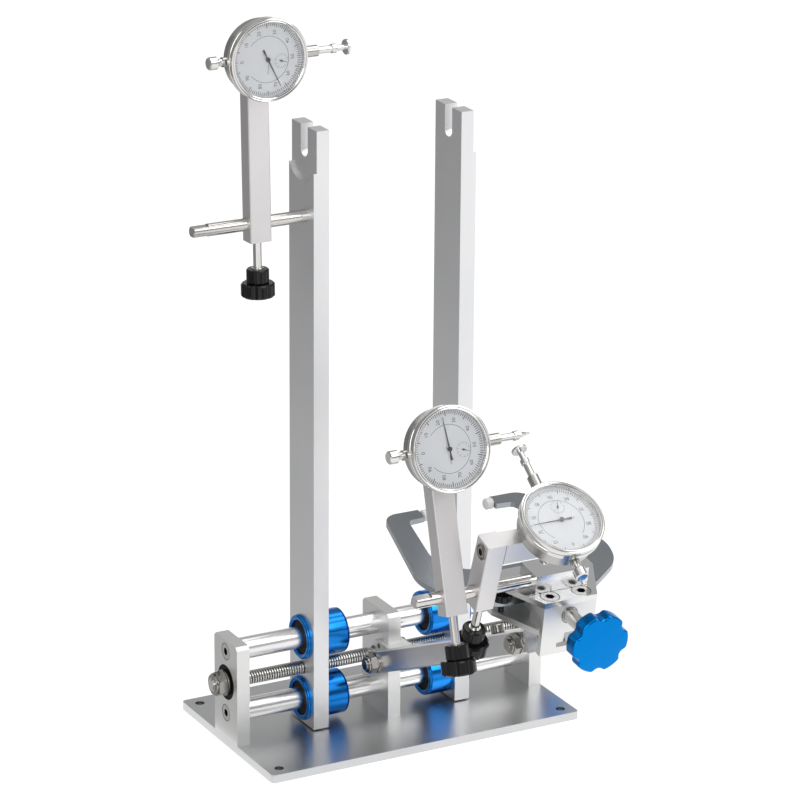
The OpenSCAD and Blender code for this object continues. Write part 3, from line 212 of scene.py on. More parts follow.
anodised_upright = metal("anodised upright", dark=(0.76, 0.765, 0.775), light=(0.80, 0.80, 0.81),
                         rough=(0.36, 0.44), grain=BRUSHED_GRAIN, stretch=ALONG_Z,
                         bump_depth=ANODISED_DEPTH)
anodised_plate = metal("anodised plate", dark=(0.77, 0.77, 0.76), light=(0.81, 0.81, 0.80),
                       rough=(0.38, 0.46), grain=BLASTED_GRAIN, bump_depth=ANODISED_DEPTH)
base_metal = metal("satin base", dark=(0.63, 0.635, 0.645), light=(0.67, 0.675, 0.68),
                   rough=(0.29, 0.33), grain=BRUSHED_GRAIN, stretch=ALONG_X,
                   bump_depth=SATIN_DEPTH)
arm_metal = metal("anodised arm", dark=(0.70, 0.685, 0.685), light=(0.74, 0.725, 0.725),
                  rough=(0.42, 0.5), grain=BLASTED_GRAIN, bump_depth=ANODISED_DEPTH)
plate_metal = metal("machined head plate", dark=(0.76, 0.76, 0.765), light=(0.80, 0.80, 0.805),
                    rough=(0.20, 0.23), grain=BRUSHED_GRAIN, stretch=ALONG_Y)
swing_metal = metal("anodised swing arm", dark=(0.60, 0.595, 0.61), light=(0.64, 0.635, 0.645),
                    rough=(0.28, 0.32), grain=FINE_BRUSHED_GRAIN, stretch=ALONG_Y)
ground_steel = metal("ground steel", dark=(0.82, 0.815, 0.81), light=(0.85, 0.845, 0.84),
                     rough=(0.25, 0.27), stretch=ALONG_X)
bright_steel = metal("bright steel", dark=(0.68, 0.665, 0.65), light=(0.72, 0.71, 0.695),
                     rough=(0.14, 0.17))
screw_steel = metal("countersunk screw", dark=(0.58, 0.575, 0.56), light=(0.64, 0.635, 0.62),
                    rough=(0.12, 0.16))
thread_steel = metal("thread crest", dark=(0.64, 0.63, 0.61), light=(0.70, 0.69, 0.67),
                     rough=(0.2, 0.24))
# A darker copy of the thread's steel for the roots of the grooves: painted shade in the thread.
thread_root_painted_shade = metal("thread root painted shade", dark=(0.38, 0.37, 0.35), light=(0.44, 0.43, 0.41),
                    rough=(0.3, 0.34))
rod_steel = metal("turned rod", dark=(0.60, 0.58, 0.555), light=(0.66, 0.64, 0.62),
                  rough=(0.16, 0.18), stretch=ALONG_X)
zinc_steel = metal("plated fastener", dark=(0.30, 0.29, 0.27), light=(0.38, 0.37, 0.35),
                   rough=(0.17, 0.21))
dark_steel = metal("black fastener", dark=(0.10, 0.10, 0.10), light=(0.16, 0.16, 0.155),
                   rough=(0.3, 0.4))
# Near-black steel in the screw sockets and in the ring round each countersunk head: painted
# shade in these recesses and gaps.
socket_painted_shade = metal("screw socket painted shade", dark=(0.055, 0.055, 0.055), light=(0.08, 0.08, 0.078),
                     rough=(0.4, 0.5))
# Dark grey for the linings of the base plate's corner holes: painted shade in the holes.
hole_painted_shade = metal("drilled hole painted shade", dark=(0.20, 0.20, 0.20), light=(0.26, 0.26, 0.255),
                   rough=(0.3, 0.4))
blue_anodised = metal("blue anodised housing", dark=(0.010, 0.18, 0.59),
                      light=(0.018, 0.23, 0.69), rough=(0.16, 0.2))
blue_knob = metal("blue anodised knob", dark=(0.002, 0.20, 0.61), light=(0.003, 0.225, 0.66),
                  rough=(0.24, 0.28))
bezel_chrome = metal("satin chrome", dark=(0.70, 0.69, 0.675), light=(0.74, 0.73, 0.715),
                     rough=(0.14, 0.17))
case_metal = metal("gauge case", dark=(0.46, 0.455, 0.44), light=(0.52, 0.515, 0.50),
                   rough=(0.22, 0.26))
fork_metal = metal("grey fork plate", dark=(0.34, 0.36, 0.385), light=(0.38, 0.40, 0.425),
                   rough=(0.24, 0.27))
black_plastic = plastic("black knob", dark=(0.005, 0.005, 0.006), light=(0.009, 0.009, 0.010),
                        rough=(0.14, 0.18), grain=MOULDED_GRAIN, bump_depth=MOULDED_DEPTH,
                        specular=0.3)
black_seal = plastic("black seal", dark=(0.008, 0.008, 0.009), light=(0.014, 0.014, 0.014),
                     rough=(0.55, 0.65), grain=RUBBER_GRAIN, bump_depth=FAINT_DEPTH,
                     specular=0.2)
pale_plastic = plastic("pale tip", dark=(0.70, 0.70, 0.68), light=(0.78, 0.78, 0.76),
                       rough=(0.35, 0.5), grain=RUBBER_GRAIN, bump_depth=TIP_DEPTH)
dial_paper = plastic("dial face", dark=(0.70, 0.72, 0.75), light=(0.74, 0.76, 0.79),
                     rough=(0.45, 0.55), grain=PAPER_GRAIN, bump_depth=FAINT_DEPTH)
print_black = plastic("dial print", dark=(0.03, 0.03, 0.035), light=(0.05, 0.05, 0.055),
                      rough=(0.5, 0.6), grain=PAPER_GRAIN, bump_depth=FAINT_DEPTH)
needle_black = plastic("needle", dark=(0.01, 0.01, 0.011), light=(0.02, 0.02, 0.02),
                       rough=(0.35, 0.45), grain=MOULDED_GRAIN, bump_depth=FAINT_DEPTH)
crystal_glass = glass("crystal")

FINISHES = [
    (base_metal, ["base_plate"]),
    (anodised_plate, ["left_end_plate", "middle_plate", "right_end_plate", "hinge_block",
                      "head_tongue", "head_lower_plate", "head_front_block",
                      "carriage_block"]),
    (anodised_upright, ["left_upright", "right_upright"]),
    (plate_metal, ["rod_block", "head_top_plate"]),
    (arm_metal, ["upper_gauge_arm", "middle_gauge_arm", "cranked_gauge_arm",
                 "cranked_arm_crossbar"]),
    (swing_metal, ["swing_arm"]),
    (ground_steel, ["guide_rods", "lead_screw"]),
    (bright_steel, ["carriage_screws"]),
    (case_metal, ["feed_screw"]),
    (screw_steel, ["head_screws", "guide_rod_screws"]),
    (rod_steel, ["upper_gauge_rod", "head_gauge_rod"]),
    (zinc_steel, ["lead_screw_nut", "rear_pivot_bolt", "front_pivot_bolt",
                  "swing_arm_screw"]),
    (dark_steel, ["plate_foot_screws", "hinge_block_screws"]),
    (blue_anodised, ["left_bearing_housings", "right_bearing_housings"]),
    (black_seal, ["left_linear_bearings", "right_linear_bearings", "lead_screw_bearings"]),
    (fork_metal, ["follower_fork"]),
    (pale_plastic, ["fork_tips"]),
    (blue_knob, ["lead_screw_knob", "feed_knob"]),
    (black_plastic, ["fork_thumb_screw"] + [g + "_arm_knob" for g in GAUGES]),
    (case_metal, [g + "_gauge_case" for g in GAUGES]),
    (bezel_chrome, [g + part for g in GAUGES for part in ("_gauge_bezel", "_gauge_plunger")]),
    (crystal_glass, [g + "_gauge_crystal" for g in GAUGES]),
    (needle_black, [g + "_gauge_needle" for g in GAUGES]),
]


def give(obj, mat):
    """Makes a material the only one of an object."""
    obj.data.materials.clear()
    obj.data.materials.append(mat)


for finish, names in FINISHES:
    for node_name in names:
        give(NODES[node_name], finish)


# Mesh helpers

SHARP_ANGLE = math.radians(38)
ROUND_STEPS = 96
SCREW_STEPS = 36
SMALL_STEPS = 32
SAME_PLACE = 0.001 * MM
SAME_LEVEL = 0.02 * MM


def mesh_object(name, verts, faces, mat, smooth=False):
    """An object from vertices and faces. A smooth one keeps its sharp edges sharp."""
    mesh = bpy.data.meshes.new(name)
    mesh.from_pydata([tuple(v) for v in verts], [], faces)
    mesh.validate()
    obj = bpy.data.objects.new(name, mesh)
    bpy.context.scene.collection.objects.link(obj)
    mesh.materials.append(mat)
    if smooth:
        mesh.polygons.foreach_set("use_smooth", [True] * len(mesh.polygons))
        mesh.set_sharp_from_angle(angle=SHARP_ANGLE)
    return obj


def in_mm(points):
    """Points written in millimetres, in metres."""
    return [(a * MM, b * MM) for a, b in points]


def circle(steps):
    """Equal angles all the way round."""
    return [TURN * k / steps for k in range(steps)]


def hoop(radius, height, angles):
    """Points at one radius round z, all at one height."""
    return [(radius * math.cos(a), radius * math.sin(a), height) for a in angles]


class Shape:
    """Collects vertices and faces, placed by a matrix, for one mesh."""

    def __init__(self, place):
        self.place = place
        self.verts = []
        self.faces = []

    def add(self, verts, faces):
        """Adds a form, and gives the numbers of its faces."""
        start = len(self.verts)
        first = len(self.faces)
        self.verts += [self.place @ Vector(v) for v in verts]
        self.faces += [[start + i for i in face] for face in faces]
        return list(range(first, len(self.faces)))

    def prism(self, outline, low, high):
        """An outline of (x, z) points, anticlockwise from the front, between two depths in y."""
        n = len(outline)
        verts = [(x, low, z) for x, z in outline] + [(x, high, z) for x, z in outline]
        sides = [[i, i + n, (i + 1) % n + n, (i + 1) % n] for i in range(n)]
        return self.add(verts, [list(range(n)), list(range(2 * n - 1, n - 1, -1))] + sides)

    def ring(self, centre, inner, outer, low, high, start=0.0, end=TURN, steps=ROUND_STEPS):
        """A flat ring, or an arc of one, round a centre (x, z)."""
        count = max(3, int(steps * (end - start) / TURN))
        closed = end - start >= TURN
        angles = [start + (end - start) * i / count for i in range(count + (not closed))]
        quads = []
        verts = []
        for a in angles:
            for r, y in ((inner, low), (outer, low), (outer, high), (inner, high)):
                verts.append((centre[0] + r * math.sin(a), y, centre[1] + r * math.cos(a)))
        total = len(angles)
        for i in range(total if closed else total - 1):
            a, b = 4 * i, 4 * ((i + 1) % total)
            quads += [[a + k, b + k, b + (k + 1) % 4, a + (k + 1) % 4] for k in range(4)]
        if not closed:
            last = 4 * (total - 1)
            quads += [[0, 1, 2, 3], [last + 3, last + 2, last + 1, last]]
        return self.add(verts, quads)

    def lathe(self, rings, closed=False):
        """Rings of equally many points, each joined to the next. A closed one also joins the
        last to the first, and any other is capped at both ends."""
        n = len(rings[0])
        verts = [v for ring in rings for v in ring]
        faces = []
        for i in range(len(rings) - (not closed)):
            a, b = i * n, (i + 1) % len(rings) * n
            faces += [[a + k, a + (k + 1) % n, b + (k + 1) % n, b + k] for k in range(n)]
        if not closed:
            top = (len(rings) - 1) * n
            faces += [list(range(n - 1, -1, -1)), [top + k for k in range(n)]]
        return self.add(verts, faces)

    def turned(self, profile, steps=ROUND_STEPS):
        """A ring round z with a closed profile of (radius, height) points."""
        angles = circle(steps)
        return self.lathe([hoop(r, h, angles) for r, h in profile], closed=True)

    def tube(self, outer, inner, low, high, edge):
        """A small tube along z with bevelled outer edges."""
        return self.turned([(inner, low), (outer - edge, low), (outer, low + edge),
                            (outer, high - edge), (outer - edge, high), (inner, high)],
                           SMALL_STEPS)

    def screw(self, profile, key_half, floor):
        """A screw along z from (radius, height) points, with a hexagon socket in its top that
        is twice key_half across and reaches down to floor. Gives the socket's faces."""
        angles = circle(SCREW_STEPS)
        sixth = TURN / 6
        key = [key_half / math.cos((a + sixth / 2) % sixth - sixth / 2) for a in angles]
        rings = [hoop(r, h, angles) for r, h in profile]
        rings += [[(r * math.cos(a), r * math.sin(a), h) for r, a in zip(key, angles)]
                  for h in (profile[-1][1], floor)]
        faces = self.lathe(rings)
        return faces[-SCREW_STEPS - 2:-2] + faces[-1:]

    def object(self, name, mat, smooth=False):
        """The collected mesh as an object of the scene."""
        return mesh_object(name, self.verts, self.faces, mat, smooth)


def islands(obj):
    """The places of the vertices of each separate solid in a node. Faces whose corners are at
    the same places belong together."""
    places = [obj.matrix_world @ vertex.co for vertex in obj.data.vertices]
    shared = {}
    first_at = [shared.setdefault(tuple(round(c / SAME_PLACE) for c in place), i)
                for i, place in enumerate(places)]
    root = list(range(len(places)))

    def find(i):
        """The vertex that stands for all that are joined to this one."""
        while root[i] != i:
            root[i] = root[root[i]]
            i = root[i]
        return i

    for edge in obj.data.edges:
        a, b = edge.vertices
        root[find(first_at[a])] = find(first_at[b])
    groups = {}
    for i, place in enumerate(places):
        groups.setdefault(find(first_at[i]), []).append(place)
    return list(groups.values())


def frame_along(points, out):
    """A frame whose z runs along out from the highest of the points, in their middle, with
    the points' radius there, and their lowest height."""
    turn = Vector(out).to_track_quat("Z", "Y").to_matrix()
    local = [turn.transposed() @ v for v in points]
    high = max(v.z for v in local)
    tops = [v for v in local if v.z > high - SAME_LEVEL]
    spans = [(min(v[i] for v in tops), max(v[i] for v in tops)) for i in (0, 1)]
    middle = Vector([(low + top) / 2 for low, top in spans] + [high])
    place = Matrix.Translation(turn @ middle) @ turn.to_4x4()
    return place, (spans[0][1] - spans[0][0]) / 2, min(v.z for v in local) - high


def joint_frame(joint):
    """A frame at a joint, its z along the joint's axis and its x as near X as that allows."""
    up = Vector(joint["axis"]).normalized()
    right = Vector((1, 0, 0))
    rotation = Matrix((right, up.cross(right), up)).transposed().to_4x4()
    return Matrix.Translation(Vector(joint["pos_m"])) @ rotation


# The lead screw's threads

LEAD_JOURNAL_R = 4 * MM
LEAD_JOURNAL_HALF = 11 * MM
LEAD_PITCH = 2 * MM
LEAD_BEVEL = 1 * MM
THREAD_SIDES = 32
THREAD_STEPS = 10
THREAD_DEPTH = 0.12
THREAD_CREST = 0.44
THREAD_FLANK = 0.14
THREAD_BIAS = 0.0001
SHADED_ROOT_FROM = 0.5
FIRST_SIDE = TURN / 8


def thread_dip(phase):
    """Depth of a thread's groove, 0 to 1, over one pitch: crest, flank, root, flank, crest. The
    bias keeps a depth off the borders, where rounding would decide."""
    from_root = abs(phase - 1 / 2)
    deep = ((1 - THREAD_CREST) / 2 - from_root) / THREAD_FLANK + THREAD_BIAS
    return min(1.0, max(0.0, deep))


def shaft_rings(stretches, outer_r):
    """Rings of a shaft along X, and how deep each point lies in a groove. Each stretch is
    (from, to, radius, hand): with a hand of 1 or -1 it has a thread, and with 0 it is plain."""
    rings = []
    dips = []
    for low, high, radius, hand in stretches:
        count = max(1, round((high - low) / LEAD_PITCH * THREAD_STEPS)) if hand else 1
        for i in range(count + 1):
            x = low + (high - low) * i / count
            fade = abs(hand) * min(1.0, i / THREAD_STEPS, (count - i) / THREAD_STEPS)
            ring = []
            for k in range(THREAD_SIDES):
                dip = thread_dip((x / LEAD_PITCH - hand * k / THREAD_SIDES) % 1.0) * fade
                r = radius - 2 * outer_r * THREAD_DEPTH * dip
                angle = TURN * k / THREAD_SIDES + FIRST_SIDE
                ring.append((x, r * math.cos(angle), r * math.sin(angle)))
                dips.append(dip)
            rings.append(ring)
    return rings, dips


def add_lead_screw():
    """The lead screw with its two threads, right-handed on one side and left-handed on the
    other, and plain where it turns in the plates."""
    lo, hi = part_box("lead_screw")
    centre_z = (lo[2] + hi[2]) / 2
    outer_r = (hi[2] - lo[2]) / 2
    plate_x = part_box("right_end_plate")[0][0]
    bevel_end = lo[0] + LEAD_BEVEL
    stretches = [(lo[0], bevel_end, outer_r - LEAD_BEVEL, 0), (bevel_end, -plate_x, outer_r, 0),
                 (-plate_x, -LEAD_JOURNAL_HALF, outer_r, 1),
                 (-LEAD_JOURNAL_HALF, LEAD_JOURNAL_HALF, LEAD_JOURNAL_R, 0),
                 (LEAD_JOURNAL_HALF, plate_x, outer_r, -1), (plate_x, hi[0], outer_r, 0)]
    rings, dips = shaft_rings(stretches, outer_r)
    shape = Shape(Matrix.Translation((0, 0, centre_z)))
    shape.lathe(rings)
    shaft = shape.object("lead_screw_thread", thread_steel)
    shaft.data.materials.append(thread_root_painted_shade)
    # Faces deep in a groove take the darker steel: painted shade in the thread's roots.
    for poly in shaft.data.polygons:
        deep = sum(dips[v] for v in poly.vertices) / len(poly.vertices)
        poly.material_index = 1 if deep > SHADED_ROOT_FROM else 0
    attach(shaft, "lead")
    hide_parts("lead_screw")


add_lead_screw()


# Dials and bezels, in each gauge's own frame: x along the stem, y into the gauge, z across

FACE_Y = 4.7 * MM
DIAL_R = 25.9 * MM
DIAL_THICK = 0.2 * MM
SPINDLE_HOLE_R = 0.9 * MM
CRYSTAL_FRONT = 1.2 * MM
CRYSTAL_BACK = 2.4 * MM
WINDOW_R = DIAL_R + 0.04 * MM
BEZEL_PROFILE = in_mm([
    (25.95, 0.9), (26.15, 0.35), (26.7, 0.05), (27.2, 0.2), (27.4, 0.75), (27.6, 0.2),
    (28.1, 0.02), (28.75, 0.25), (29.0, 0.9), (29.0, 3.3), (28.7, 3.5), (28.7, 3.9),
    (29.0, 4.1), (29.0, 7.2), (28.4, 7.9), (25.95, 7.9)])
PRINT_HIGH = 0.03 * MM
TICKS = 100
TICK_OUTER = DIAL_R * 0.975
TICK_KINDS = [(10, DIAL_R * 0.84, 0.55 * MM), (5, DIAL_R * 0.865, 0.4 * MM),
              (1, DIAL_R * 0.89, 0.4 * MM)]
NUMERALS = 10
NUMERAL_HIGH = 3.6 * MM
NUMERAL_R = 19.0 * MM
NUMERAL_CURVE_STEPS = 3
LEGEND = "0.01mm"
LEGEND_HIGH = 1.9 * MM
LEGEND_CENTRE = (0.5 * MM, -7.0 * MM)
ARC_R = DIAL_R * 0.62
ARC_HALF = 0.13 * MM
ARC_START = math.radians(-50)
ARC_END = math.radians(230)
SUB_CENTRE = (10.5 * MM, -2.0 * MM)
SUB_R = 5.0 * MM
SUB_LINE = 0.1 * MM
SUB_TICKS = 10
SUB_TICK_INNER = SUB_R * 0.72
SUB_TICK_OUTER = SUB_R * 0.95
SUB_TICK_WIDTH = 0.18 * MM
COUNTER_ANGLE = 1.9
COUNTER_HAND = in_mm([(-0.25, -1.6), (0.25, -1.6), (0.35, 0), (0.08, 4.0), (-0.08, 4.0),
                      (-0.35, 0)])
COUNTER_FRONT = FACE_Y - 0.45 * MM
COUNTER_BACK = FACE_Y - 0.3 * MM
COUNTER_BOSS_R = 0.7 * MM
COUNTER_BOSS_BORE_R = 0.01 * MM
COUNTER_BOSS_FRONT = FACE_Y - 0.5 * MM
COUNTER_BOSS_BACK = FACE_Y - 0.1 * MM


def gauge_matrix(gauge):
    """The gauge's frame from the joints of its bezel and its plunger."""
    bezel = JOINTS[gauge + "_bezel_turn"]
    stem = Vector(JOINTS[gauge + "_plunger_slide"]["axis"]).normalized()
    back = -Vector(bezel["axis"]).normalized()
    across = stem.cross(back)
    rotation = Matrix((stem, back, across)).transposed().to_4x4()
    return Matrix.Translation(Vector(bezel["pos_m"])) @ rotation


def turned_about(centre, angle, points):
    """Points turned by an angle, clockwise from the z direction, and moved to a centre."""
    s, c = math.sin(angle), math.cos(angle)
    return [(centre[0] + x * c + z * s, centre[1] - x * s + z * c) for x, z in points]


def stroke(shape, angle, inner, outer, width, centre=(0, 0)):
    """A radial tick, its angle clockwise from the z direction."""
    w = width / 2
    outline = turned_about(centre, angle, [(-w, inner), (w, inner), (w, outer), (-w, outer)])
    shape.prism(outline, FACE_Y - 2 * PRINT_HIGH, FACE_Y - PRINT_HIGH)


def numeral(text, size):
    """The mesh of a short text, centred on the origin in x and y."""
    curve = bpy.data.curves.new("numeral", "FONT")
    curve.body = text
    curve.size = size
    curve.align_x = "CENTER"
    curve.align_y = "CENTER"
    curve.extrude = PRINT_HIGH / 2
    curve.resolution_u = NUMERAL_CURVE_STEPS
    obj = bpy.data.objects.new("numeral", curve)
    bpy.context.scene.collection.objects.link(obj)
    dg = bpy.context.evaluated_depsgraph_get()
    mesh = bpy.data.meshes.new_from_object(obj.evaluated_get(dg))
    verts = [v.co.copy() for v in mesh.vertices]
    faces = [list(p.vertices) for p in mesh.polygons]
    bpy.data.objects.remove(obj)
    bpy.data.curves.remove(curve)
    bpy.data.meshes.remove(mesh)
    return verts, faces


def write(shape, text, size, centre):
    """Text on the dial. The dial's own up is towards the plunger's cap, -x."""
    verts, faces = numeral(text, size)
    middle_y = FACE_Y - 1.5 * PRINT_HIGH
    shape.add([(centre[0] - v.y, middle_y - v.z, centre[1] + v.x) for v in verts], faces)


def add_dial(gauge):
    """The dial with its marks, which turn with the bezel, and its turn counter's hand."""
    place = gauge_matrix(gauge)
    face = Shape(place)
    face.ring((0, 0), SPINDLE_HOLE_R, DIAL_R, FACE_Y - PRINT_HIGH, FACE_Y + DIAL_THICK)
    plate = face.object(gauge + "_dial_face", dial_paper)
    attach(plate, gauge + "_bezel")

    ink = Shape(place)
    for i in range(TICKS):
        _, inner, width = next(kind for kind in TICK_KINDS if i % kind[0] == 0)
        stroke(ink, TURN * i / TICKS, inner, TICK_OUTER, width)
    for i, angle in enumerate(circle(NUMERALS)):
        centre = (-NUMERAL_R * math.cos(angle), NUMERAL_R * math.sin(angle))
        write(ink, str(i * TICKS // NUMERALS), NUMERAL_HIGH, centre)
    ink.ring((0, 0), ARC_R - ARC_HALF, ARC_R + ARC_HALF, FACE_Y - 2 * PRINT_HIGH,
             FACE_Y - PRINT_HIGH, ARC_START, ARC_END)
    ink.ring(SUB_CENTRE, SUB_R - SUB_LINE, SUB_R, FACE_Y - 2 * PRINT_HIGH, FACE_Y - PRINT_HIGH)
    for angle in circle(SUB_TICKS):
        stroke(ink, angle, SUB_TICK_INNER, SUB_TICK_OUTER, SUB_TICK_WIDTH, SUB_CENTRE)
    write(ink, LEGEND, LEGEND_HIGH, LEGEND_CENTRE)
    marks = ink.object(gauge + "_dial_print", print_black)
    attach(marks, gauge + "_bezel")

    pointer = Shape(place)
    pointer.prism(turned_about(SUB_CENTRE, COUNTER_ANGLE, COUNTER_HAND), COUNTER_FRONT,
                  COUNTER_BACK)
    pointer.ring(SUB_CENTRE, COUNTER_BOSS_BORE_R, COUNTER_BOSS_R, COUNTER_BOSS_FRONT,
                 COUNTER_BOSS_BACK, steps=SMALL_STEPS)
    hand = pointer.object(gauge + "_turn_counter", needle_black)
    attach(hand, gauge + "_arm")


def add_bezel(gauge):
    """The bezel with a groove in its front and one in its side, and the window in it."""
    place = gauge_matrix(gauge) @ Matrix.Rotation(-TURN / 4, 4, "X")
    rim = Shape(place)
    rim.turned(BEZEL_PROFILE)
    bezel = rim.object(gauge + "_bezel_rim", bezel_chrome, smooth=True)
    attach(bezel, gauge + "_bezel")
    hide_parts(gauge + "_gauge_bezel")
    window = Shape(place)
    angles = circle(ROUND_STEPS)
    window.lathe([hoop(WINDOW_R, h, angles) for h in (CRYSTAL_FRONT, CRYSTAL_BACK)])
    crystal = window.object(gauge + "_window", crystal_glass)
    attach(crystal, gauge + "_bezel")
    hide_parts(gauge + "_gauge_crystal")


for gauge_name in GAUGES:
    add_dial(gauge_name)
    add_bezel(gauge_name)


# Screws with sockets. A profile runs up a screw's outside as (radius, height).

LUG_HOLE_Y = 27.0 * MM
LUG_HALF = 3.25 * MM
LUG_FREE_SIDES = {"upper": 1, "middle": 1, "cranked": -1}
LUG_SCREW = in_mm([(2.4, -12.0), (2.4, 0.02), (4.6, 0.02), (4.75, 0.3), (4.6, 1.2),
                   (4.1, 2.0), (3.3, 2.5), (2.5, 2.7)])
LUG_KEY_HALF = 1.5 * MM
LUG_SOCKET_FLOOR = 1.0 * MM
CROSSBAR_SCREW_AT = (-7.0 * MM, 0.25 * MM, 33.0 * MM)
CROSSBAR_SCREW = in_mm([(2.9, -12.0), (2.9, 0.02), (5.7, 0.02), (5.8, 0.5), (5.5, 0.8),
                        (4.9, 0.8), (4.7, 0.1), (4.5, 0.1), (4.4, 0.8), (4.0, 1.0),
                        (3.2, 1.0)])
CROSSBAR_KEY_HALF = 2.2 * MM
CROSSBAR_SOCKET_FLOOR = -1.6 * MM
CAP_PROFILE = in_mm([(4.0, -0.6), (4.3, -0.5), (4.3, -0.05), (4.1, -0.01)])
CAP_KEY_HALF = 1.2 * MM
CAP_SOCKET_FLOOR = -0.4 * MM
HEAD_TO_SHANK = 1.9
SHANK_CLEARANCE = 0.03 * MM
CONE_START = 0.06
KEY_SHARE = 0.42
SOCKET_SHARE = 0.5
HEAD_CLEARANCE = 0.1 * MM
HEAD_EDGE = 0.5 * MM
HEAD_BEVEL = 0.25 * MM
HEAD_BEVEL_DEEP = 0.12 * MM
# A ring in the gap round each countersunk head, painted as the gap's shadow.
SHADOW_LINE_WIDE = 0.25 * MM
SHADOW_LINE_DEEP = 0.4 * MM
SHADOW_LINE_PROUD = 0.02 * MM


def add_lug_screw(gauge):
    """The screw that holds a gauge's lug, its head on the lug's free side."""
    sign = LUG_FREE_SIDES[gauge]
    flip = Matrix.Identity(4) if sign > 0 else Matrix.Rotation(TURN / 2, 4, "X")
    place = gauge_matrix(gauge) @ Matrix.Translation((0, LUG_HOLE_Y, sign * LUG_HALF)) @ flip
    shape = Shape(place)
    shape.screw(LUG_SCREW, LUG_KEY_HALF, LUG_SOCKET_FLOOR)
    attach(shape.object(gauge + "_lug_screw", zinc_steel), gauge + "_arm")


def add_crossbar_screw():
    """The screw that joins the cranked arm to its crossbar, seen on the arm's left face."""
    shape = Shape(joint_frame(JOINTS["cranked_knob_turn"])
                  @ Matrix.Translation(CROSSBAR_SCREW_AT) @ Matrix.Rotation(-TURN / 4, 4, "Y"))
    shape.screw(CROSSBAR_SCREW, CROSSBAR_KEY_HALF, CROSSBAR_SOCKET_FLOOR)
    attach(shape.object("crossbar_screw", zinc_steel), "cranked_arm")


def add_thumb_cap():
    """The bright disc on the fork's thumb screw."""
    place = joint_frame(JOINTS["thumb_turn"])
    screw = NODES["fork_thumb_screw"]
    up = place.col[2].xyz
    top = max((screw.matrix_world @ v.co - place.translation).dot(up)
              for v in screw.data.vertices)
    shape = Shape(place)
    shape.screw([(r, top + h) for r, h in CAP_PROFILE], CAP_KEY_HALF, top + CAP_SOCKET_FLOOR)
    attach(shape.object("thumb_screw_cap", bright_steel), "thumb")


def add_countersunk(node, body, axis):
    """The countersunk screws of a node. Their sockets and a thin ring in the gap round each head
    are near black: painted shade in the sockets and a painted shadow in the gap.
    """
    shape = Shape(Matrix.Identity(4))
    dark = []
    for points in islands(NODES[node]):
        ends = [frame_along(points, axis), frame_along(points, -axis)]
        shape.place, hole_r, low = max(ends, key=lambda end: end[1])
        shank_r = hole_r / HEAD_TO_SHANK - SHANK_CLEARANCE
        head_r = hole_r - HEAD_CLEARANCE
        cone_end = -CONE_START * hole_r - (hole_r - shank_r)
        dark += shape.screw([(shank_r, low), (shank_r, cone_end), (head_r, -HEAD_EDGE),
                             (head_r, -HEAD_BEVEL_DEEP), (head_r - HEAD_BEVEL, 0.0)],
                            KEY_SHARE * hole_r, -SOCKET_SHARE * hole_r)
        # A near-black ring in the gap round the head: a painted shadow.
        shadow_line_r = hole_r + SHADOW_LINE_WIDE
        dark += shape.turned([(head_r, -SHADOW_LINE_DEEP), (shadow_line_r, -SHADOW_LINE_DEEP), (shadow_line_r, SHADOW_LINE_PROUD),
                              (head_r, SHADOW_LINE_PROUD)], SCREW_STEPS)
    obj = shape.object(node + "_heads", screw_steel)
    # The sockets and the rings take the near-black steel: painted shade.
    obj.data.materials.append(socket_painted_shade)
    for index in dark:
        obj.data.polygons[index].material_index = 1
    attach(obj, body)
    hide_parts(node)


# Studs of the star knobs, in the frame of an arm's knob: z up along the arm

COLLAR_TOP = -32.5 * MM
COLLAR_HIGH = 0.8 * MM
COLLAR_R = 4.2 * MM
COLLAR_BEVEL = 0.3 * MM
STUD_INTO_KNOB = 0.5 * MM
STUD_INTO_ARM = -6.0 * MM
STUD_R = 2.98 * MM
STUD_INNER_R = 2.9 * MM
STUD_BEVEL = 0.05 * MM


def add_stud(gauge):
    """The bright stud between a star knob and its arm."""
    shape = Shape(joint_frame(JOINTS[gauge + "_knob_turn"]))
    low = COLLAR_TOP - STUD_INTO_KNOB
    shape.tube(STUD_R, STUD_INNER_R, low, STUD_INTO_ARM, STUD_BEVEL)
    shape.tube(COLLAR_R, STUD_INNER_R, low, COLLAR_TOP + COLLAR_HIGH, COLLAR_BEVEL)
    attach(shape.object(gauge + "_knob_stud", bright_steel), gauge + "_knob")


# Rounded lips on the bearing housings, as (radius, height over the housing's end)

LIP_PROFILE = in_mm([
    (12.6, -0.9), (12.6, 0.1), (12.9, 0.55), (13.6, 0.9), (14.6, 1.0), (15.6, 0.8),
    (16.2, 0.35), (16.4, -0.2), (14.45, -0.2), (14.45, -0.9)])
LIP_STEPS = 72


def add_lips(side):
    """The rounded blue lips that hold the bearings in their housings."""
    shape = Shape(Matrix.Identity(4))
    for points in islands(NODES[side + "_bearing_housings"]):
        for out in ((1, 0, 0), (-1, 0, 0)):
            shape.place = frame_along(points, out)[0]
            shape.turned(LIP_PROFILE, LIP_STEPS)
    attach(shape.object(side + "_housing_lips", blue_anodised, smooth=True), side + "_slide")


# The blue knob of the feed screw

KNOB_R = 21.0 * MM
KNOB_THICK = 12.0 * MM
KNOB_HUB_R = 8.0 * MM
KNOB_NOTCHES = 6
NOTCH_R = 0.13 * 2 * KNOB_R
NOTCH_DEEP = 0.065 * 2 * KNOB_R
KNOB_ROUND = 1.6 * MM
KNOB_DOME = 1.0 * MM
KNOB_STEPS = KNOB_NOTCHES * 28
KNOB_EDGE_STEPS = 5
KNOB_FACE_SHARES = (0.9, 0.75, 0.6, 0.4, 0.2)


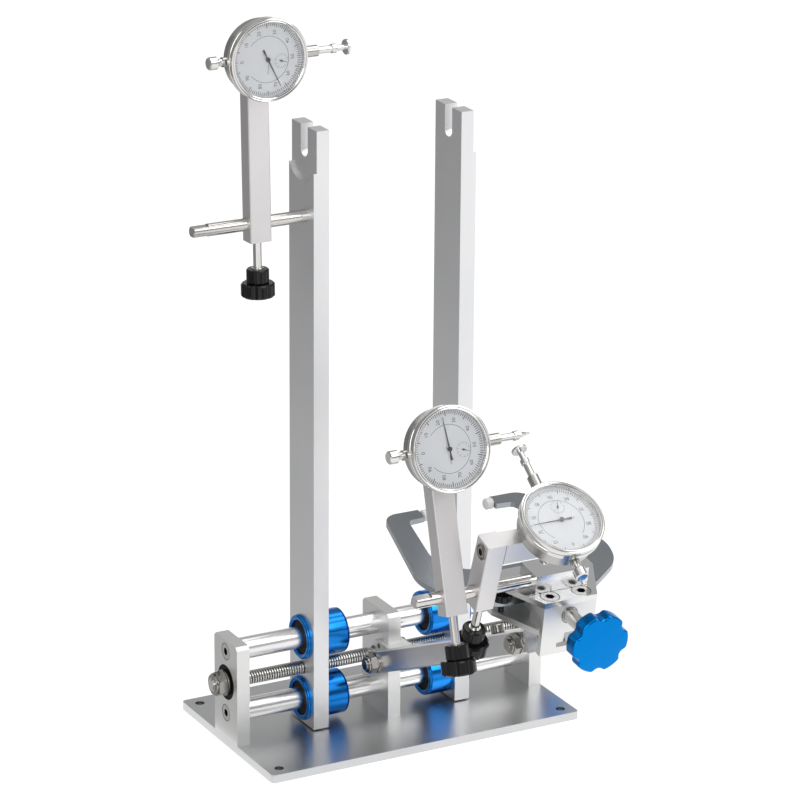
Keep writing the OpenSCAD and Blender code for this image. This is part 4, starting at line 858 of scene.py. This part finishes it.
def knob_radius(angle):
    """The radius of a round knob with round notches, at an angle from a notch."""
    pitch = TURN / KNOB_NOTCHES
    off = (angle + pitch / 2) % pitch - pitch / 2
    centre = KNOB_R + NOTCH_R - NOTCH_DEEP
    reach = NOTCH_R ** 2 - (centre * math.sin(off)) ** 2
    if reach <= 0:
        return KNOB_R
    return min(KNOB_R, centre * math.cos(off) - math.sqrt(reach))


def knob_wall():
    """The knob's radius all round, with the notches' corners taken off."""
    raw = [knob_radius(angle) for angle in circle(KNOB_STEPS)]
    return [sum(raw[(k + j) % KNOB_STEPS] for j in (-1, 0, 1)) / 3 for k in range(KNOB_STEPS)]


def add_feed_knob():
    """The blue knob with its notches, a rounded edge and a slightly domed face."""
    axis = Vector(JOINTS["feed_turn"]["axis"]).normalized()
    out = -axis if axis.y > 0 else axis
    points = [NODES["feed_knob"].matrix_world @ v.co for v in NODES["feed_knob"].data.vertices]
    place, _, low = frame_along(points, out)
    start = Vector(JOINTS["feed_turn"]["pos_m"])
    top = max((v - start).dot(out) for v in points)
    turn = place.to_3x3()
    first = math.atan2(*(turn.transposed() @ Vector((0, 0, 1))).yx)
    angles = [first + angle for angle in circle(KNOB_STEPS)]
    wall = knob_wall()

    def level(inward, share, height):
        """The knob's outline, drawn inward and then scaled, at a height."""
        return [((r - inward) * share * math.cos(a), (r - inward) * share * math.sin(a), height)
                for r, a in zip(wall, angles)]

    quarter = [TURN / 4 * k / KNOB_EDGE_STEPS for k in range(KNOB_EDGE_STEPS + 1)]
    back = -KNOB_THICK + KNOB_ROUND
    front = -KNOB_DOME - KNOB_ROUND
    rings = [hoop(KNOB_HUB_R, low, angles), hoop(KNOB_HUB_R, -KNOB_THICK, angles)]
    rings += [level(KNOB_ROUND * (1 - math.sin(a)), 1, back - KNOB_ROUND * math.cos(a))
              for a in quarter]
    rings += [level(KNOB_ROUND * (1 - math.cos(a)), 1, front + KNOB_ROUND * math.sin(a))
              for a in quarter]
    rings += [level(KNOB_ROUND, share, -KNOB_DOME * share ** 2) for share in KNOB_FACE_SHARES]
    shape = Shape(Matrix.Translation(start + out * top) @ turn.to_4x4())
    shape.lathe(rings)
    knob = shape.object("feed_knob_head", blue_knob, smooth=True)
    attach(knob, "feed")
    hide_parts("feed_knob")


# The base plate's corner holes, lined with painted shade

CORNER_HOLE_R = 3.5 * MM
CORNER_INSET = 10.0 * MM
WALL_IN_PLATE = 0.1 * MM
WALL_IN_HOLE = 0.15 * MM
WALL_SHORT = 0.2 * MM
HOLE_STEPS = 48


def add_hole_walls():
    """Dark linings on the walls of the base plate's corner holes: painted shade inside the
    holes.
    """
    low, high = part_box("base_plate")
    outer, inner = CORNER_HOLE_R + WALL_IN_PLATE, CORNER_HOLE_R - WALL_IN_HOLE
    bottom, top = low[2] + WALL_SHORT, high[2] - WALL_SHORT
    shape = Shape(Matrix.Identity(4))
    for x in (low[0] + CORNER_INSET, high[0] - CORNER_INSET):
        for y in (low[1] + CORNER_INSET, high[1] - CORNER_INSET):
            shape.place = Matrix.Translation((x, y, 0))
            shape.turned([(outer, bottom), (outer, top), (inner, top), (inner, bottom)],
                         HOLE_STEPS)
    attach(shape.object("corner_hole_painted_shade", hole_painted_shade), "base")


add_countersunk("guide_rod_screws", "base", Vector((1, 0, 0)))
add_countersunk("head_screws", "head", Vector(JOINTS["thumb_turn"]["axis"]))
add_lips("left")
add_lips("right")
add_feed_knob()
add_hole_walls()
for gauge_name in GAUGES:
    add_lug_screw(gauge_name)
    add_stud(gauge_name)
add_crossbar_screw()
add_thumb_cap()


# Floor, light and camera. A ramp of the world is (start, end, level there, level here) along
# one axis of a ray's direction.

FLOOR_HALF = 8.0
FLOOR_GLOW = 0.84
FLOOR_SEEN = 0.28
FLOOR_BOUNCE = 0.88
FLOOR_VARIES = 0.01
FLOOR_PATCHES = 3.0
FLOOR_ROUGH = 0.8
FLOOR_SPECULAR = 0.1
CARD_PATCHES = 2.0
CARD_VARIES = 1.08
LEFT_CARD_GREY = 0.26
LEFT_CARD_NEAR = (-1.1, -0.5)
LEFT_CARD_FAR = (-0.25, 1.4)
LEFT_CARD_LOW = 0.002
LEFT_CARD_HIGH = 0.9
MAT_GREY = 0.48
MAT_HIGH = 0.001
LEFT_MAT_NEAR = (-1.0, -0.3)
LEFT_MAT_FAR = (-0.135, 1.4)
BACK_MAT_NEAR = (-0.13, 0.09)
BACK_MAT_FAR = (0.3, 1.4)
LAMP_SIZE = 1.6
EVEN_LIGHT = 0.5
FRONT_RAMP = (-0.7, -0.3, 1.0, 0.0)
BACK_WALL_RAMP = (0.02, 0.30, 1.0, 0.40)
FRONT_WALL_RAMP = (0.02, 0.16, 1.0, 0.26)
CEILING_RAMP = (0.66, 0.84, 0.0, 0.95)
FOCAL_PX = 4115.0
IMAGE_PX = 800.0
SENSOR = 36.0
CAMERA_AT = Vector((-1.301, -2.450, 1.210))
CAMERA_YAW = math.radians(28.24)
CAMERA_PITCH = math.radians(19.21)
CAMERA_ROLL = math.radians(0.41)
CLIP_NEAR = 0.05
CLIP_FAR = 50


def standing(near, far, low, high):
    """The corners of an upright card between two points on the floor."""
    return [(*near, low), (*far, low), (*far, high), (*near, high)]


def lying(near, far, height):
    """The corners of a flat card from its near left corner to its far right one."""
    return [(*near, height), (far[0], near[1], height), (*far, height),
            (near[0], far[1], height)]


def floor_shine(tree):
    """1 for rays from the camera, mirrors and glass, 0 for the light that objects get."""
    path = tree.nodes.new("ShaderNodeLightPath")
    value = path.outputs["Is Camera Ray"]
    for other in ("Is Glossy Ray", "Is Transmission Ray"):
        value = larger(tree, value, path.outputs[other])
    return value


def add_floor():
    """A white floor. Where it is seen, most of its brightness is plain white and the rest is
    lit, so that it takes the shadow."""
    mat, tree, shader = new_material("floor")
    seen = floor_shine(tree)
    pale = noise(tree, grain_source(tree, EVEN), FLOOR_PATCHES, PATCH_DETAIL)
    tones = [tinted(tree, pale, (grey,) * 3, (grey + FLOOR_VARIES,) * 3)
             for grey in (FLOOR_BOUNCE, FLOOR_SEEN)]
    tree.links.new(mixed(tree, seen, *tones, "RGBA"), shader.inputs["Base Color"])
    shader.inputs["Emission Color"].default_value = (1, 1, 1, 1)
    tree.links.new(mixed(tree, seen, 0.0, FLOOR_GLOW), shader.inputs["Emission Strength"])
    shader.inputs["Roughness"].default_value = FLOOR_ROUGH
    shader.inputs["Specular IOR Level"].default_value = FLOOR_SPECULAR
    corners = lying((-FLOOR_HALF, -FLOOR_HALF), (FLOOR_HALF, FLOOR_HALF), 0)
    floor = mesh_object("floor", corners, [[0, 1, 2, 3]], mat)


def add_card(name, corners, grey):
    """A grey card that only reflections see, as photographers stand beside metal."""
    mat, tree, shader = new_material(name)
    glow = add_node(tree, "ShaderNodeEmission", Strength=1.0)
    patches = noise(tree, grain_source(tree, EVEN), CARD_PATCHES)
    tree.links.new(tinted(tree, patches, (grey,) * 3, (grey * CARD_VARIES,) * 3),
                   glow.inputs["Color"])
    tree.links.new(glow.outputs["Emission"], tree.nodes["Material Output"].inputs["Surface"])
    card = mesh_object(name, corners, [[0, 1, 2, 3]], mat)
    card.visible_camera = False
    card.visible_diffuse = False
    card.visible_transmission = False
    card.visible_shadow = False


def add_area(name, location, target, power):
    """A square lamp that faces a point."""
    data = bpy.data.lights.new(name, "AREA")
    data.shape = "SQUARE"
    data.size = LAMP_SIZE
    data.energy = power
    lamp = bpy.data.objects.new(name, data)
    lamp.location = location
    aim = Vector(target) - Vector(location)
    lamp.rotation_euler = aim.to_track_quat("-Z", "Y").to_euler()
    bpy.context.scene.collection.objects.link(lamp)


def set_world():
    """White for the camera and glass. Metal sees a white horizon behind the object, a darker
    room in front of it and a white ceiling, and the light from all round is pale and even."""
    world = bpy.data.worlds.new("studio")
    bpy.context.scene.world = world
    world.use_nodes = True
    tree = world.node_tree
    back = tree.nodes["Background"]
    back.inputs["Color"].default_value = (1, 1, 1, 1)
    coords = tree.nodes.new("ShaderNodeTexCoord")
    split = tree.nodes.new("ShaderNodeSeparateXYZ")
    tree.links.new(coords.outputs["Generated"], split.inputs["Vector"])

    def ramp(axis, values):
        """A level that changes along one axis of a ray's direction."""
        return map_range(tree, split.outputs[axis], *values, "SMOOTHSTEP")

    walls = mixed(tree, ramp("Y", FRONT_RAMP), ramp("Z", BACK_WALL_RAMP),
                  ramp("Z", FRONT_WALL_RAMP))
    mirrored = larger(tree, walls, ramp("Z", CEILING_RAMP))
    path = tree.nodes.new("ShaderNodeLightPath")
    level = mixed(tree, path.outputs["Is Glossy Ray"], EVEN_LIGHT, mirrored)
    level = mixed(tree, path.outputs["Is Transmission Ray"], level, 1.0)
    level = mixed(tree, path.outputs["Is Camera Ray"], level, 1.0)
    tree.links.new(level, back.inputs["Strength"])


def add_camera():
    """The photograph's view: a long lens from the front left, looking down."""
    yaw, pitch, roll = CAMERA_YAW, CAMERA_PITCH, CAMERA_ROLL
    ahead = Vector((math.sin(yaw) * math.cos(pitch), math.cos(yaw) * math.cos(pitch),
                    -math.sin(pitch)))
    right = Vector((math.cos(yaw), -math.sin(yaw), 0))
    up = right.cross(ahead)
    right, up = (right * math.cos(roll) + up * math.sin(roll),
                 up * math.cos(roll) - right * math.sin(roll))
    data = bpy.data.cameras.new("camera")
    data.sensor_width = SENSOR
    data.lens = FOCAL_PX / IMAGE_PX * SENSOR
    data.clip_start = CLIP_NEAR
    data.clip_end = CLIP_FAR
    camera = bpy.data.objects.new("camera", data)
    rotation = Matrix((right, up, -ahead)).transposed().to_4x4()
    camera.matrix_world = Matrix.Translation(CAMERA_AT) @ rotation
    bpy.context.scene.collection.objects.link(camera)
    bpy.context.scene.camera = camera


add_floor()
add_card("left_card", standing(LEFT_CARD_NEAR, LEFT_CARD_FAR, LEFT_CARD_LOW, LEFT_CARD_HIGH),
         LEFT_CARD_GREY)
add_card("left_mat", lying(LEFT_MAT_NEAR, LEFT_MAT_FAR, MAT_HIGH), MAT_GREY)
add_card("back_mat", lying(BACK_MAT_NEAR, BACK_MAT_FAR, MAT_HIGH), MAT_GREY)
add_area("key", location=(1.7, -1.9, 2.0), target=(0, -0.1, 0.25), power=24)
add_area("fill", location=(-1.6, -2.3, 1.6), target=(0, -0.1, 0.25), power=22)
add_area("top", location=(0.8, 0.0, 2.3), target=(0, -0.1, 0.2), power=12)
set_world()
add_camera()
bpy.context.scene.view_settings.view_transform = "Standard"
